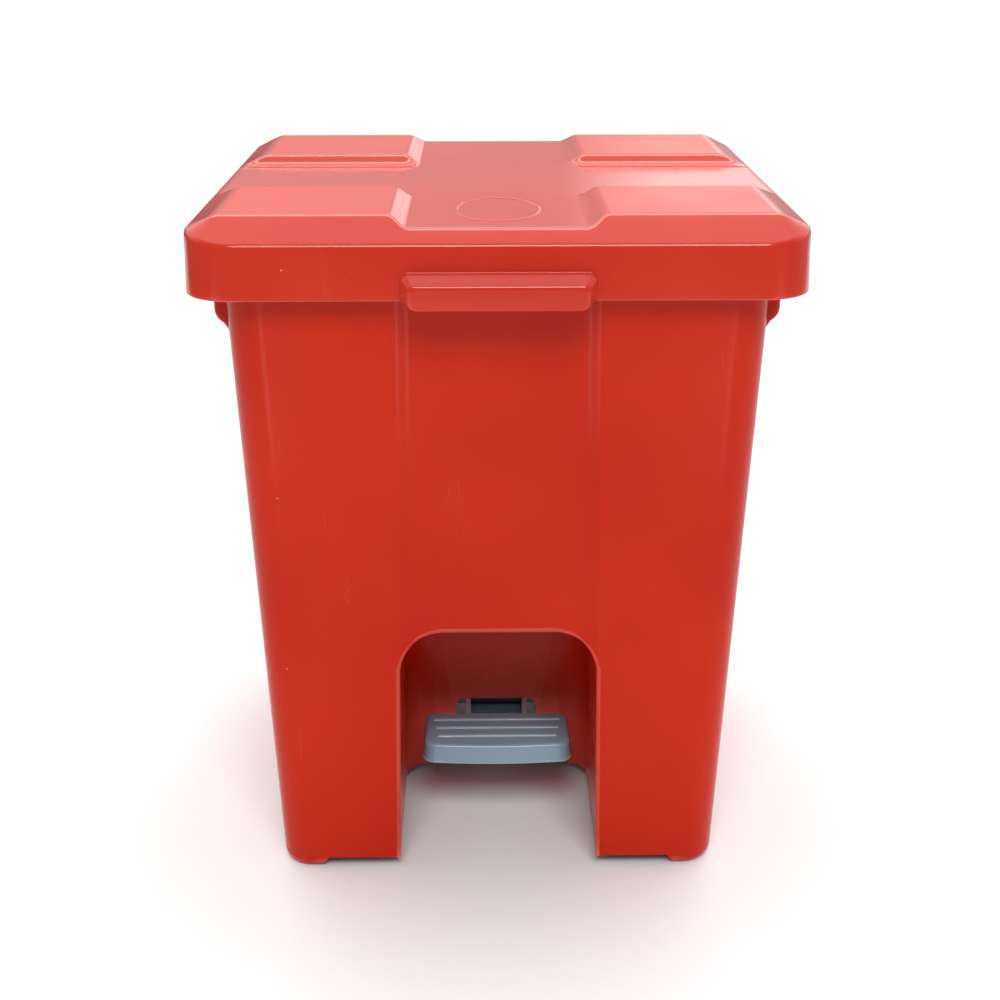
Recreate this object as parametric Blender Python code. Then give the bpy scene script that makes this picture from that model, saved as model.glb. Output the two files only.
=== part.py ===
"""Step-on waste bin: an outer shell on moulded feet, an inner bucket that hangs in its rim,
a hinged lid with four raised pads, and a pedal that opens the lid through a wire push rod.

Sizes are in millimetres and become metres when a mesh is made. +Z is up, -Y is the front,
and the origin is on the floor under the middle of the lid.
"""
import math

import bmesh
import bpy
from mathutils import Matrix, Vector

MM = 0.001

# General
WALL = 2.5
GAP = 0.3
CORNER_STEPS = 5
ROUND_SIDES = 20

# Body: a box that widens upwards, measured on its outer face at floor level
BODY_TOP = 372.0
BODY_HALF_X = 126.6
BODY_FRONT = 126.6
BODY_REAR = 124.0
SIDE_DRAFT = 0.0425
FRONT_DRAFT = 0.0494
REAR_DRAFT = 0.0484
BODY_CORNER = 18.0
CORNER_GROWTH = 0.010
RIM_WIDTH = 4.0
RIM_HEIGHT = 3.0

# Shallow strip down the middle of the front, and the rod channel down the rear
STRIP_HALF_X = 48.6
STRIP_SLOPE = 9.0
STRIP_NARROWING = 0.0105
STRIP_DEPTH = 3.5
CHANNEL_HALF_X = 18.0
CHANNEL_DEPTH = 24.0

# Feet
SKIRT_LOW = 7.0
FOOT_INNER = 104.5
FOOT_SLOPE = 5.5
FOOT_ROUND = 6.0

# Gap in the rear wall's foot that the push rod and the arm's fork move in
WINDOW_HALF_X = 14.0
WINDOW_FRONT = 92.0
WINDOW_REAR = 112.0
WINDOW_TOP = 108.0

# Foot recess in the front, with the slot that the pedal arm passes through
ARCH_HALF_X = 58.4
ARCH_DRAFT = 0.018
ARCH_TOP = 157.5
ARCH_RADIUS = 26.0
ARCH_REAR = -27.0
ARCH_REAR_DRAFT = 0.02
ARCH_CORNER = 15.0
SLOT_HALF_X = 25.5
SLOT_LOW = 22.0
SLOT_HIGH = 55.0
SLOT_CORNER = 5.0

# Side grips under the rim
GRIP_OUTER = 148.5
GRIP_INNER = 139.6
GRIP_TOP = 360.0
GRIP_LIP = 338.0
GRIP_LOW = 325.0
GRIP_FRONT = -122.0
GRIP_REAR = 108.0
GRIP_HOLLOW_INNER = 142.6

# Lid
LID_HALF_X = 160.0
LID_HALF_Y = 155.0
LID_LOW = 351.0
LID_SKIRT_TOP = 379.3
LID_SIDE_TOP = 383.7
LID_TOP = 391.5
LID_DRAFT = 0.73
LID_CHAMFER = 18.7
LID_SIDE_CHAMFER = 16.5
LID_CORNER = 26.0
LID_TOP_CORNER = 4.0
VALLEY_FLOOR = 385.85
VALLEY_HALF_X = 47.1
VALLEY_FRONT = -50.0
VALLEY_REAR = 43.0
SOFT_SLOPE = 1.29
REAR_SLOPE = 1.5

# Lip handle on the lid's front
LIP_HALF_X = 49.8
LIP_FACE_HALF_X = 44.5
LIP_FACE = 164.0
LIP_LOW = 348.4
LIP_HIGH = 365.5
LIP_FACE_HIGH = 360.5
LIP_CORNER = 5.0

# Stiffening frame and rest ribs inside the lid
FRAME_HALF_X = 124.0
FRAME_FRONT = -124.0
FRAME_REAR = 102.0
FRAME_LOW = 375.5
FRAME_WALL = 2.0
REST_INNER = 146.8
REST_PLACES = (-90.0, 60.0)

# Hinge
HINGE_Y = 160.0
HINGE_Z = 342.0
HINGE_X = 88.0
KNUCKLE_RADIUS = 7.0
KNUCKLE_WIDTH = 24.0
EAR_WIDTH = 4.0
SIDE_PLAY = 0.5
EAR_ROOT_Y = 138.0
EAR_ROOT_LOW = 26.0
EAR_ROOT_HIGH = 6.5
PIN_RADIUS = 2.5
HEAD_RADIUS = 4.5
HEAD_HEIGHT = 2.0
NUT_RADIUS = 5.5
NUT_HEIGHT = 1.5

# Lift tab on the lid, where the rod's upper hook turns
TAB_Y = 128.0
TAB_Z = 338.0
TAB_LOW_X = 6.5
TAB_WIDTH = 6.0
TAB_RADIUS = 6.5
TAB_FRONT = 121.5
LID_KNUCKLE_LOW = 4.0
LID_KNUCKLE_HIGH = 30.0

# Pedal
PIVOT_Y = -5.0
PIVOT_Z = 46.0
PIVOT_EAR_LOW_X = 27.0
PIVOT_EAR_WIDTH = 3.5
PIVOT_EAR_REACH = 9.0
PIVOT_EAR_LOW = 16.0
PIVOT_EAR_HIGH = 18.0
HUB_RADIUS = 7.0
TREAD_FRONT = -87.5
TREAD_REAR = -47.0
TREAD_LOW = 44.0
TREAD_HIGH = 55.8
TREAD_HALF_X = 45.5
TREAD_TAPER = 2.5
TREAD_BOW = 1.8
TREAD_CORNER = 8.0
TREAD_WALL = 2.2
RIDGE_HALF_X = (40.0, 38.5, 37.0)
RIDGE_PITCH = 8.5
RIDGE_SIZE = 1.2
ARM_RIB = 3.0
ARM_WEB = 3.2
FORK_HALF_X = 9.5
ARM_STATIONS = (
    # y, half width, rib bottom, rib top
    (-82.0, 19.0, 47.0, 54.6),
    (-47.0, 19.0, 42.0, 54.6),
    (-24.0, 19.5, 39.0, 54.2),
    (-5.0, 20.0, 38.0, 55.0),
    (22.0, 19.0, 38.0, 55.0),
    (92.0, FORK_HALF_X, 40.0, 59.0),
    (122.0, FORK_HALF_X, 41.0, 59.0),
)
FORK_START = 97.0

# Push rod and its lost-motion slot in the arm's fork
ROD_RADIUS = 2.5
ROD_BEND = 5.5
ROD_FOOT_Y = 114.0
ROD_FOOT_Z = 50.0
ROD_UPPER_END = 16.0
ROD_LOWER_END = 13.0
LOST_MOTION_Y = 7.0
LOST_MOTION_Z = 4.4

# Inner bucket
BUCKET_INSET = 5.7
BUCKET_FLOOR = 168.0
FLANGE_HEIGHT = 2.5
FLANGE_INSET = -1.0
HOLD_HALF_Y = 38.0
HOLD_LOW = 343.0
HOLD_HIGH = 361.0

RED = (0.60, 0.035, 0.018, 1.0)
GREY = (0.16, 0.20, 0.25, 1.0)
BLACK = (0.03, 0.03, 0.035, 1.0)
STEEL = (0.62, 0.63, 0.65, 1.0)


def remove_everything():
    for item in list(bpy.data.objects):
        bpy.data.objects.remove(item, do_unlink=True)


def plain_material(name, color, roughness, metallic):
    material = bpy.data.materials.new(name)
    material.use_nodes = True
    shader = material.node_tree.nodes["Principled BSDF"]
    shader.inputs["Base Color"].default_value = color
    shader.inputs["Roughness"].default_value = roughness
    shader.inputs["Metallic"].default_value = metallic
    return material


# ---------------------------------------------------------------- outlines

def arc(centre_u, centre_v, radius, start, end, steps):
    """Points on a circle from start to end, in degrees."""
    points = []
    for step in range(steps + 1):
        angle = math.radians(start + (end - start) * step / steps)
        points.append((centre_u + radius * math.cos(angle), centre_v + radius * math.sin(angle)))
    return points


def rounded_box(low_u, high_u, low_v, high_v, radius, steps=CORNER_STEPS):
    """A rectangle with four round corners, counter-clockwise."""
    outline = arc(high_u - radius, low_v + radius, radius, -90, 0, steps)
    outline += arc(high_u - radius, high_v - radius, radius, 0, 90, steps)
    outline += arc(low_u + radius, high_v - radius, radius, 90, 180, steps)
    outline += arc(low_u + radius, low_v + radius, radius, 180, 270, steps)
    return outline


def circle(centre_u, centre_v, radius, sides=ROUND_SIDES):
    return arc(centre_u, centre_v, radius, 0, 360 - 360 / sides, sides - 1)


def at_height(outline, z):
    return [Vector((u, v, z)) for u, v in outline]


# ---------------------------------------------------------------- solids

def make_object(name, mesh_data):
    """A named object whose mesh has its faces pointing out, in metres."""
    bmesh.ops.recalc_face_normals(mesh_data, faces=mesh_data.faces)
    bmesh.ops.scale(mesh_data, vec=(MM, MM, MM), verts=mesh_data.verts)
    mesh = bpy.data.meshes.new(name)
    mesh_data.to_mesh(mesh)
    mesh_data.free()
    item = bpy.data.objects.new(name, mesh)
    bpy.context.scene.collection.objects.link(item)
    return item


def loft(name, rings, closed=False):
    """Skin a row of rings; open rows get a cap at each end, closed rows join up."""
    mesh_data = bmesh.new()
    loops = [[mesh_data.verts.new(point) for point in ring] for ring in rings]
    pairs = list(zip(loops, loops[1:]))
    if closed:
        pairs.append((loops[-1], loops[0]))
    count = len(loops[0])
    for lower, upper in pairs:
        for index in range(count):
            following = (index + 1) % count
            mesh_data.faces.new((lower[index], lower[following], upper[following], upper[index]))
    if not closed:
        mesh_data.faces.new(list(reversed(loops[0])))
        mesh_data.faces.new(loops[-1])
    return make_object(name, mesh_data)


def prism(name, outline, axis, low, high):
    """An outline in the other two axes, in X, Y, Z order, drawn out along one axis."""
    def place(u, v, depth):
        return {"X": Vector((depth, u, v)), "Y": Vector((u, depth, v)), "Z": Vector((u, v, depth))}[axis]
    return loft(name, [[place(u, v, depth) for u, v in outline] for depth in (low, high)])


def box(name, low, high):
    outline = [(low[0], low[1]), (high[0], low[1]), (high[0], high[1]), (low[0], high[1])]
    return prism(name, outline, "Z", low[2], high[2])


def turned(name, profile, y, z, closed=False):
    """Turn (x, radius) pairs about a line along X through y, z."""
    rings = []
    for x, radius in profile:
        rings.append([Vector((x, u, v)) for u, v in circle(y, z, radius)])
    return loft(name, rings, closed)


# ---------------------------------------------------------------- joining

def modify(target, tool, operation):
    modifier = target.modifiers.new(operation.lower() + "_" + tool.name, "BOOLEAN")
    modifier.operation = operation
    modifier.solver = "EXACT"
    modifier.object = tool
    tool.hide_render = True
    tool.display_type = "WIRE"


def cut(target, *tools):
    for tool in tools:
        modify(target, tool, "DIFFERENCE")


def add(target, *tools):
    for tool in tools:
        modify(target, tool, "UNION")


def finish_part(item, material, pivot=None):
    """Give a part its material and smooth shading, and hang it on its joint's empty."""
    item.data.materials.append(material)
    item.data.shade_smooth()
    item.data.set_sharp_from_angle(angle=math.radians(35))
    if pivot:
        item.data.transform(Matrix.Translation(-pivot.location))
        item.parent = pivot


def joint_empty(name, x, y, z):
    empty = bpy.data.objects.new(name, None)
    empty.location = Vector((x, y, z)) * MM
    empty.empty_display_size = 20 * MM
    bpy.context.scene.collection.objects.link(empty)
    return empty


# ---------------------------------------------------------------- body

def front_face(z):
    return -(BODY_FRONT + FRONT_DRAFT * z)


def rear_face(z):
    return BODY_REAR + REAR_DRAFT * z


def body_ring(z, inset=0.0, rim=0.0):
    """The body's section at height z, inset from its outer face or rim mm outside it."""
    half_x = BODY_HALF_X + SIDE_DRAFT * z - inset + rim
    front = front_face(z) + inset - rim
    rear = rear_face(z) - inset + rim
    radius = max(BODY_CORNER + CORNER_GROWTH * z - inset + rim, 4.0)
    strip = STRIP_HALF_X - STRIP_NARROWING * z
    channel_half_x = CHANNEL_HALF_X + inset
    channel_floor = rear_face(z) - CHANNEL_DEPTH - inset
    ring = [
        (-strip - STRIP_SLOPE, front),
        (-strip, front + STRIP_DEPTH),
        (strip, front + STRIP_DEPTH),
        (strip + STRIP_SLOPE, front),
    ]
    ring += arc(half_x - radius, front + radius, radius, -90, 0, CORNER_STEPS)
    ring += arc(half_x - radius, rear - radius, radius, 0, 90, CORNER_STEPS)
    ring += [
        (channel_half_x, rear),
        (channel_half_x, channel_floor),
        (-channel_half_x, channel_floor),
        (-channel_half_x, rear),
    ]
    ring += arc(-half_x + radius, rear - radius, radius, 90, 180, CORNER_STEPS)
    ring += arc(-half_x + radius, front + radius, radius, 180, 270, CORNER_STEPS)
    return at_height(ring, z)


def foot_rounding(radius, floor):
    """Heights and insets of the quarter round where the walls turn under the feet."""
    rings = []
    for angle in (0, 30, 60, 90):
        turn = math.radians(angle)
        rings.append((floor + radius * (1 - math.cos(turn)), radius * (1 - math.sin(turn))))
    return rings


def arch_rings(margin, low):
    """Level sections of the foot recess, grown by margin on every side."""
    spring = ARCH_TOP - ARCH_RADIUS
    radius = ARCH_RADIUS + margin
    heights = [low, spring]
    for angle in (18, 36, 54, 72, 90):
        heights.append(spring + radius * math.sin(math.radians(angle)))
    rings = []
    for z in heights:
        half_x = ARCH_HALF_X + margin - ARCH_DRAFT * min(z, spring)
        if z > spring:
            half_x += math.sqrt(max(radius ** 2 - (z - spring) ** 2, 0)) - radius
        rear = ARCH_REAR - ARCH_REAR_DRAFT * z + margin
        corner = ARCH_CORNER + margin
        outline = [(half_x, -200.0)]
        outline += arc(half_x - corner, rear - corner, corner, 0, 90, CORNER_STEPS)
        outline += arc(-half_x + corner, rear - corner, corner, 90, 180, CORNER_STEPS)
        outline += [(-half_x, -200.0)]
        rings.append(at_height(outline, z))
    return rings


def underside_cutters():
    """Two troughs that leave only the four feet below the skirt."""
    across = [
        (-FOOT_INNER, -1.0),
        (FOOT_INNER, -1.0),
        (FOOT_INNER, 0.0),
        (FOOT_INNER - FOOT_SLOPE, SKIRT_LOW),
        (-FOOT_INNER + FOOT_SLOPE, SKIRT_LOW),
        (-FOOT_INNER, 0.0),
    ]
    return (
        prism("underside_across", across, "Y", -180.0, 180.0),
        prism("underside_along", across, "X", -180.0, 180.0),
    )


def pivot_ear(side):
    """A plate behind the recess that carries one end of the pedal's pin."""
    low_x = PIVOT_EAR_LOW_X
    high_x = low_x + PIVOT_EAR_WIDTH
    root_y = ARCH_REAR + 0.5
    outline = [(root_y, PIVOT_Z - PIVOT_EAR_LOW), (root_y, PIVOT_Z + PIVOT_EAR_HIGH)]
    outline += arc(PIVOT_Y, PIVOT_Z, PIVOT_EAR_REACH, 80, -80, 8)
    return prism("pivot_ear_" + side, outline, "X", *span(side, low_x, high_x))


def span(side, low, high):
    return (low, high) if side == "right" else (-high, -low)


def side_grip(side):
    outline = [(GRIP_INNER, GRIP_LOW), (GRIP_INNER, GRIP_TOP), (GRIP_OUTER, GRIP_TOP)]
    outline += arc(GRIP_OUTER - 8.0, GRIP_LIP, 8.0, 0, -60, 4)
    outline = [(u if side == "right" else -u, v) for u, v in outline]
    return prism("grip_" + side, outline, "Y", GRIP_FRONT, GRIP_REAR)


def side_grip_hollow(side):
    lip_inner = GRIP_OUTER - WALL
    outline = [
        (GRIP_HOLLOW_INNER, GRIP_LOW - 5.0),
        (GRIP_OUTER + 5.0, GRIP_LOW - 5.0),
        (GRIP_OUTER + 5.0, GRIP_LIP),
        (lip_inner, GRIP_LIP),
        (lip_inner, GRIP_TOP - WALL),
        (GRIP_HOLLOW_INNER, GRIP_TOP - WALL),
    ]
    outline = [(u if side == "right" else -u, v) for u, v in outline]
    return prism("grip_hollow_" + side, outline, "Y", GRIP_FRONT + WALL, GRIP_REAR - WALL)


def hinge_ears(side):
    """The two plates behind the body that hold one hinge pin."""
    ears = []
    outline = [(EAR_ROOT_Y, HINGE_Z - EAR_ROOT_LOW)]
    outline += arc(HINGE_Y, HINGE_Z, KNUCKLE_RADIUS, -115, 95, 11)
    outline += [(EAR_ROOT_Y, HINGE_Z + EAR_ROOT_HIGH)]
    reach = KNUCKLE_WIDTH / 2 + SIDE_PLAY
    for label, low_x in (("inner", HINGE_X - reach - EAR_WIDTH), ("outer", HINGE_X + reach)):
        name = "hinge_ear_" + label + "_" + side
        ears.append(prism(name, outline, "X", *span(side, low_x, low_x + EAR_WIDTH)))
    return ears


def build_outer_shell(material):
    walls = [body_ring(z, inset) for z, inset in foot_rounding(FOOT_ROUND, 0.0)]
    walls += [body_ring(BODY_TOP - RIM_HEIGHT - RIM_WIDTH)]
    walls += [body_ring(BODY_TOP - RIM_HEIGHT, rim=RIM_WIDTH), body_ring(BODY_TOP, rim=RIM_WIDTH)]
    shell = loft("outer_shell", walls)

    inside = [body_ring(z, inset + WALL) for z, inset in foot_rounding(FOOT_ROUND - WALL, WALL)]
    inside += [body_ring(BODY_TOP + 2.0, WALL)]
    cavity = loft("shell_cavity", inside)
    cut(cavity, loft("arch_liner", arch_rings(WALL, -20.0)))
    for side in ("left", "right"):
        cut(cavity, pivot_ear(side))

    cut(shell, cavity)
    for side in ("left", "right"):
        add(shell, side_grip(side))
        cut(shell, side_grip_hollow(side))
        add(shell, *hinge_ears(side))
    cut(shell, loft("arch_void", arch_rings(0.0, -25.0)))
    slot = rounded_box(-SLOT_HALF_X, SLOT_HALF_X, SLOT_LOW, SLOT_HIGH, SLOT_CORNER, 3)
    cut(shell, prism("arm_slot", slot, "Y", ARCH_REAR - 10, ARCH_REAR + 10))
    cut(shell, *underside_cutters())
    cut(shell, box("arm_window", (-WINDOW_HALF_X, WINDOW_FRONT, -5.0),
                   (WINDOW_HALF_X, WINDOW_REAR, WINDOW_TOP)))
    hole = PIN_RADIUS + GAP
    cut(shell, prism("pivot_bore", circle(PIVOT_Y, PIVOT_Z, hole), "X", -40.0, 40.0))
    cut(shell, prism("hinge_bore", circle(HINGE_Y, HINGE_Z, hole), "X", -130.0, 130.0))
    finish_part(shell, material)


# ---------------------------------------------------------------- lid

def lid_ring(z, side_z, inset, side_inset, radius):
    """A round-cornered ring at height z along the front and rear and side_z along the sides."""
    half_x = LID_HALF_X - side_inset
    half_y = LID_HALF_Y - inset
    centre_x = half_x - radius
    ring = []
    for u, v in rounded_box(-half_x, half_x, -half_y, half_y, radius):
        share = min(max((abs(u) - centre_x) / radius, 0.0), 1.0)
        ring.append(Vector((u, v, z + (side_z - z) * share)))
    return ring


def valley(name, axis, low, high, floor, low_slope, high_slope):
    """A trough across the lid's top, from floor upwards, with sloping sides."""
    depth = LID_TOP + 4.0 - floor
    outline = [
        (low, floor),
        (high, floor),
        (high + depth * high_slope, floor + depth),
        (low - depth * low_slope, floor + depth),
    ]
    return prism(name, outline, axis, -180.0, 180.0)


def lip_ring(y, half_x, low, high, corner):
    outline = rounded_box(-half_x, half_x, low, high, corner, 3)
    return [Vector((u, y, v)) for u, v in outline]


def lift_tab():
    """The web under the lid whose round end holds the rod's upper hook."""
    root = VALLEY_FLOOR - 1.2
    rear = LID_HALF_Y - 1.5
    chamfer_rear = LID_HALF_Y - 10.5
    outline = [(TAB_FRONT, root), (TAB_FRONT, TAB_Z)]
    outline += arc(TAB_Y, TAB_Z, TAB_RADIUS, 180, 345, 9)
    outline += [(rear, LID_LOW + 8.0), (rear, LID_SKIRT_TOP - 1.0), (chamfer_rear, root)]
    return prism("lift_tab", outline, "X", TAB_LOW_X, TAB_LOW_X + TAB_WIDTH)


def lid_knuckle(side):
    root_y = LID_HALF_Y - 1.5
    outline = [(root_y, HINGE_Z + LID_KNUCKLE_HIGH), (root_y, HINGE_Z + LID_KNUCKLE_LOW)]
    outline += arc(HINGE_Y, HINGE_Z, KNUCKLE_RADIUS, 150, 370, 12)
    outline += [(LID_HALF_Y + 3.0, HINGE_Z + LID_KNUCKLE_HIGH - 2.0)]
    half = KNUCKLE_WIDTH / 2
    return prism("lid_knuckle_" + side, outline, "X", *span(side, HINGE_X - half, HINGE_X + half))


def build_lid(material, pivot):
    lid = loft("lid", [
        lid_ring(LID_LOW, LID_LOW, 0.0, 0.0, LID_CORNER),
        lid_ring(LID_SKIRT_TOP, LID_SIDE_TOP, LID_DRAFT, LID_DRAFT, LID_CORNER),
        lid_ring(LID_TOP, LID_TOP, LID_DRAFT + LID_CHAMFER, LID_DRAFT + LID_SIDE_CHAMFER,
                 LID_TOP_CORNER),
    ])
    lip = loft("lip_block", [
        lip_ring(-LID_HALF_Y + WALL, LIP_HALF_X, LIP_LOW, LIP_HIGH, LIP_CORNER),
        lip_ring(-LID_HALF_Y - 1.0, LIP_HALF_X, LIP_LOW, LIP_HIGH, LIP_CORNER),
        lip_ring(-LIP_FACE + 3.0, LIP_FACE_HALF_X + 2.0, LIP_LOW, LIP_FACE_HIGH + 1.0, LIP_CORNER - 1),
        lip_ring(-LIP_FACE, LIP_FACE_HALF_X, LIP_LOW, LIP_FACE_HIGH, LIP_CORNER - 2),
    ])
    add(lid, lip)

    wall_corner = LID_CORNER - WALL
    cavity = loft("lid_cavity", [
        lid_ring(LID_LOW - 1.0, LID_LOW - 1.0, WALL, WALL, wall_corner),
        lid_ring(LID_SKIRT_TOP - 1.3, LID_SIDE_TOP - 1.6, WALL + LID_DRAFT, WALL + LID_DRAFT,
                 wall_corner),
        lid_ring(LID_TOP - WALL, LID_TOP - WALL, LID_DRAFT + LID_CHAMFER + 0.8,
                 LID_DRAFT + LID_SIDE_CHAMFER + 0.6, LID_TOP_CORNER),
    ])
    keep_floor = VALLEY_FLOOR - WALL
    cut(cavity, valley("column_web", "Y", -VALLEY_HALF_X - 1, VALLEY_HALF_X + 1, keep_floor,
                       SOFT_SLOPE, SOFT_SLOPE))
    cut(cavity, valley("cross_web", "X", VALLEY_FRONT - 1, VALLEY_REAR + 1, keep_floor,
                       SOFT_SLOPE, REAR_SLOPE))
    cut(cavity, lid_frame())
    for side in ("left", "right"):
        for place in REST_PLACES:
            cut(cavity, rest_rib(side, place))
    cut(lid, cavity)

    lip_hollow = loft("lip_hollow", [
        lip_ring(-LID_HALF_Y + WALL + 2, LIP_HALF_X - WALL, LIP_LOW - 10, LIP_HIGH - WALL, 3.0),
        lip_ring(-LID_HALF_Y - 1.0, LIP_HALF_X - WALL, LIP_LOW - 10, LIP_HIGH - WALL, 3.0),
        lip_ring(-LIP_FACE + WALL, LIP_FACE_HALF_X - 1.5, LIP_LOW - 10, LIP_FACE_HIGH - WALL, 3.0),
    ])
    cut(lid, lip_hollow)
    cut(lid, valley("column_valley", "Y", -VALLEY_HALF_X, VALLEY_HALF_X, VALLEY_FLOOR,
                    SOFT_SLOPE, SOFT_SLOPE))
    cut(lid, valley("cross_valley", "X", VALLEY_FRONT, VALLEY_REAR, VALLEY_FLOOR,
                    SOFT_SLOPE, REAR_SLOPE))
    add(lid, lift_tab(), lid_knuckle("left"), lid_knuckle("right"))
    hole = PIN_RADIUS + GAP
    cut(lid, prism("lid_pin_bore", circle(HINGE_Y, HINGE_Z, hole), "X", -130.0, 130.0))
    cut(lid, prism("tab_bore", circle(TAB_Y, TAB_Z, ROD_RADIUS + GAP), "X", -5.0, 20.0))
    finish_part(lid, material, pivot)


def lid_frame():
    """The upright wall that stiffens the lid's underside, just inside the bucket's mouth."""
    rings = []
    for inset, z in ((0.0, FRAME_LOW), (0.0, LID_TOP + 3), (FRAME_WALL, LID_TOP + 3),
                     (FRAME_WALL, FRAME_LOW)):
        outline = rounded_box(-FRAME_HALF_X + inset, FRAME_HALF_X - inset,
                              FRAME_FRONT + inset, FRAME_REAR - inset, 14.0 - inset, 3)
        rings.append(at_height(outline, z))
    return loft("lid_frame", rings, closed=True)


def rest_rib(side, y):
    """A rib inside the skirt that lands on the side grip's shelf when the lid is shut."""
    low_x, high_x = span(side, REST_INNER, LID_HALF_X)
    name = "rest_rib_" + side + "_" + str(REST_PLACES.index(y))
    return box(name, (low_x, y - WALL / 2, GRIP_TOP + GAP), (high_x, y + WALL / 2, LID_TOP))


# ---------------------------------------------------------------- bucket

def build_inner_bucket(material, pivot):
    flange_low = BODY_TOP + GAP
    flange_top = flange_low + FLANGE_HEIGHT
    inner = BUCKET_INSET + WALL
    bucket = loft("inner_bucket", [
        body_ring(BUCKET_FLOOR, BUCKET_INSET + 3.0),
        body_ring(BUCKET_FLOOR + 3.0, BUCKET_INSET),
        body_ring(flange_low, BUCKET_INSET),
        body_ring(flange_low, FLANGE_INSET),
        body_ring(flange_top, FLANGE_INSET),
        body_ring(flange_top, inner),
        body_ring(BUCKET_FLOOR + WALL + 2.0, inner),
        body_ring(BUCKET_FLOOR + WALL, inner + 2.0),
    ])
    hold = rounded_box(-HOLD_HALF_Y, HOLD_HALF_Y, HOLD_LOW, HOLD_HIGH, 8.0, 3)
    for side in ("left", "right"):
        cut(bucket, prism("hand_hold_" + side, hold, "X", *span(side, 120.0, 150.0)))
    finish_part(bucket, material, pivot)


# ---------------------------------------------------------------- pedal

def tread_ring(z, inset):
    """The tread's outline: round front corners and a front edge that bows forward."""
    half_x = TREAD_HALF_X - inset
    front = TREAD_FRONT + inset
    rear = TREAD_REAR - inset * 0.5
    corner = TREAD_CORNER
    outline = []
    for step in range(-3, 4):
        share = step / 3
        outline.append((share * (half_x - corner), front + TREAD_BOW * share ** 2))
    outline += arc(half_x - corner, front + TREAD_BOW + corner, corner, -82, 0, 4)
    outline += arc(half_x - 5.0, rear - 5.0, 5.0, 0, 90, 3)
    outline += arc(-half_x + 5.0, rear - 5.0, 5.0, 90, 180, 3)
    outline += arc(-half_x + corner, front + TREAD_BOW + corner, corner, 180, 262, 4)
    return at_height(outline, z)


def arm_section(y, half_x, low, high):
    """A trough: two upright ribs joined by a web at the bottom."""
    inner = half_x - ARM_RIB
    floor = low + ARM_WEB
    points = [
        (-half_x, low), (half_x, low), (half_x, high), (inner, high), (inner, floor),
        (-inner, floor), (-inner, high), (-half_x, high),
    ]
    return [Vector((u, y, v)) for u, v in points]


def build_pedal(material, pivot):
    pedal = loft("pedal", [
        tread_ring(TREAD_LOW, -1.2),
        tread_ring(TREAD_LOW + 1.5, -1.2),
        tread_ring(TREAD_LOW + 1.5, 0.0),
        tread_ring(TREAD_HIGH - 2.0, TREAD_TAPER - 0.8),
        tread_ring(TREAD_HIGH, TREAD_TAPER + 0.8),
    ])
    cut(pedal, loft("tread_hollow", [
        tread_ring(TREAD_LOW - 1.0, TREAD_WALL),
        tread_ring(TREAD_HIGH - TREAD_WALL, TREAD_WALL + TREAD_TAPER),
    ]))
    for index, half_x in enumerate(RIDGE_HALF_X):
        y = TREAD_REAR - 11.0 - RIDGE_PITCH * index
        outline = rounded_box(y - 1.3, y + 1.3, TREAD_HIGH - 1.0, TREAD_HIGH + RIDGE_SIZE, 0.8, 2)
        add(pedal, prism("ridge_" + str(index), outline, "X", -half_x, half_x))
    add(pedal, loft("arm", [arm_section(*station) for station in ARM_STATIONS]))
    hub_half = PIVOT_EAR_LOW_X - SIDE_PLAY
    add(pedal, prism("hub", circle(PIVOT_Y, PIVOT_Z, HUB_RADIUS), "X", -hub_half, hub_half))
    fork = FORK_HALF_X - ARM_RIB
    cut(pedal, box("fork_gap", (-fork, FORK_START, 30.0), (fork, 130.0, 70.0)))
    reach = ROD_RADIUS + GAP
    lost_motion = rounded_box(ROD_FOOT_Y - LOST_MOTION_Y - reach, ROD_FOOT_Y + reach,
                              ROD_FOOT_Z - reach, ROD_FOOT_Z + LOST_MOTION_Z + reach, 2.6, 3)
    cut(pedal, prism("rod_slot", lost_motion, "X", -20.0, 20.0))
    cut(pedal, prism("hub_bore", circle(PIVOT_Y, PIVOT_Z, PIN_RADIUS + GAP), "X", -40.0, 40.0))
    finish_part(pedal, material, pivot)


# ---------------------------------------------------------------- pins and rod

def push_nut(name, x, dish, y, z, material, pivot=None):
    """A ring that grips the end of a pin or of the rod, dished towards +X or -X as dish says."""
    bore = PIN_RADIUS + GAP
    section = [
        (x, bore), (x, NUT_RADIUS), (x + dish * NUT_HEIGHT * 0.5, NUT_RADIUS),
        (x + dish * NUT_HEIGHT, bore + 1.0), (x + dish * NUT_HEIGHT, bore),
    ]
    nut = turned(name, section, y, z, closed=True)
    finish_part(nut, material, pivot)


def build_pivot_pin(steel, dark):
    ear_outer = PIVOT_EAR_LOW_X + PIVOT_EAR_WIDTH
    end = ear_outer + NUT_HEIGHT + 2.5
    pin = turned("pedal_pivot_pin", [
        (-end, PIN_RADIUS - 0.6), (-end + 0.6, PIN_RADIUS),
        (end - 0.6, PIN_RADIUS), (end, PIN_RADIUS - 0.6),
    ], PIVOT_Y, PIVOT_Z)
    finish_part(pin, steel)
    push_nut("pivot_nut_left", -ear_outer - GAP, -1.0, PIVOT_Y, PIVOT_Z, dark)
    push_nut("pivot_nut_right", ear_outer + GAP, 1.0, PIVOT_Y, PIVOT_Z, dark)


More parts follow.
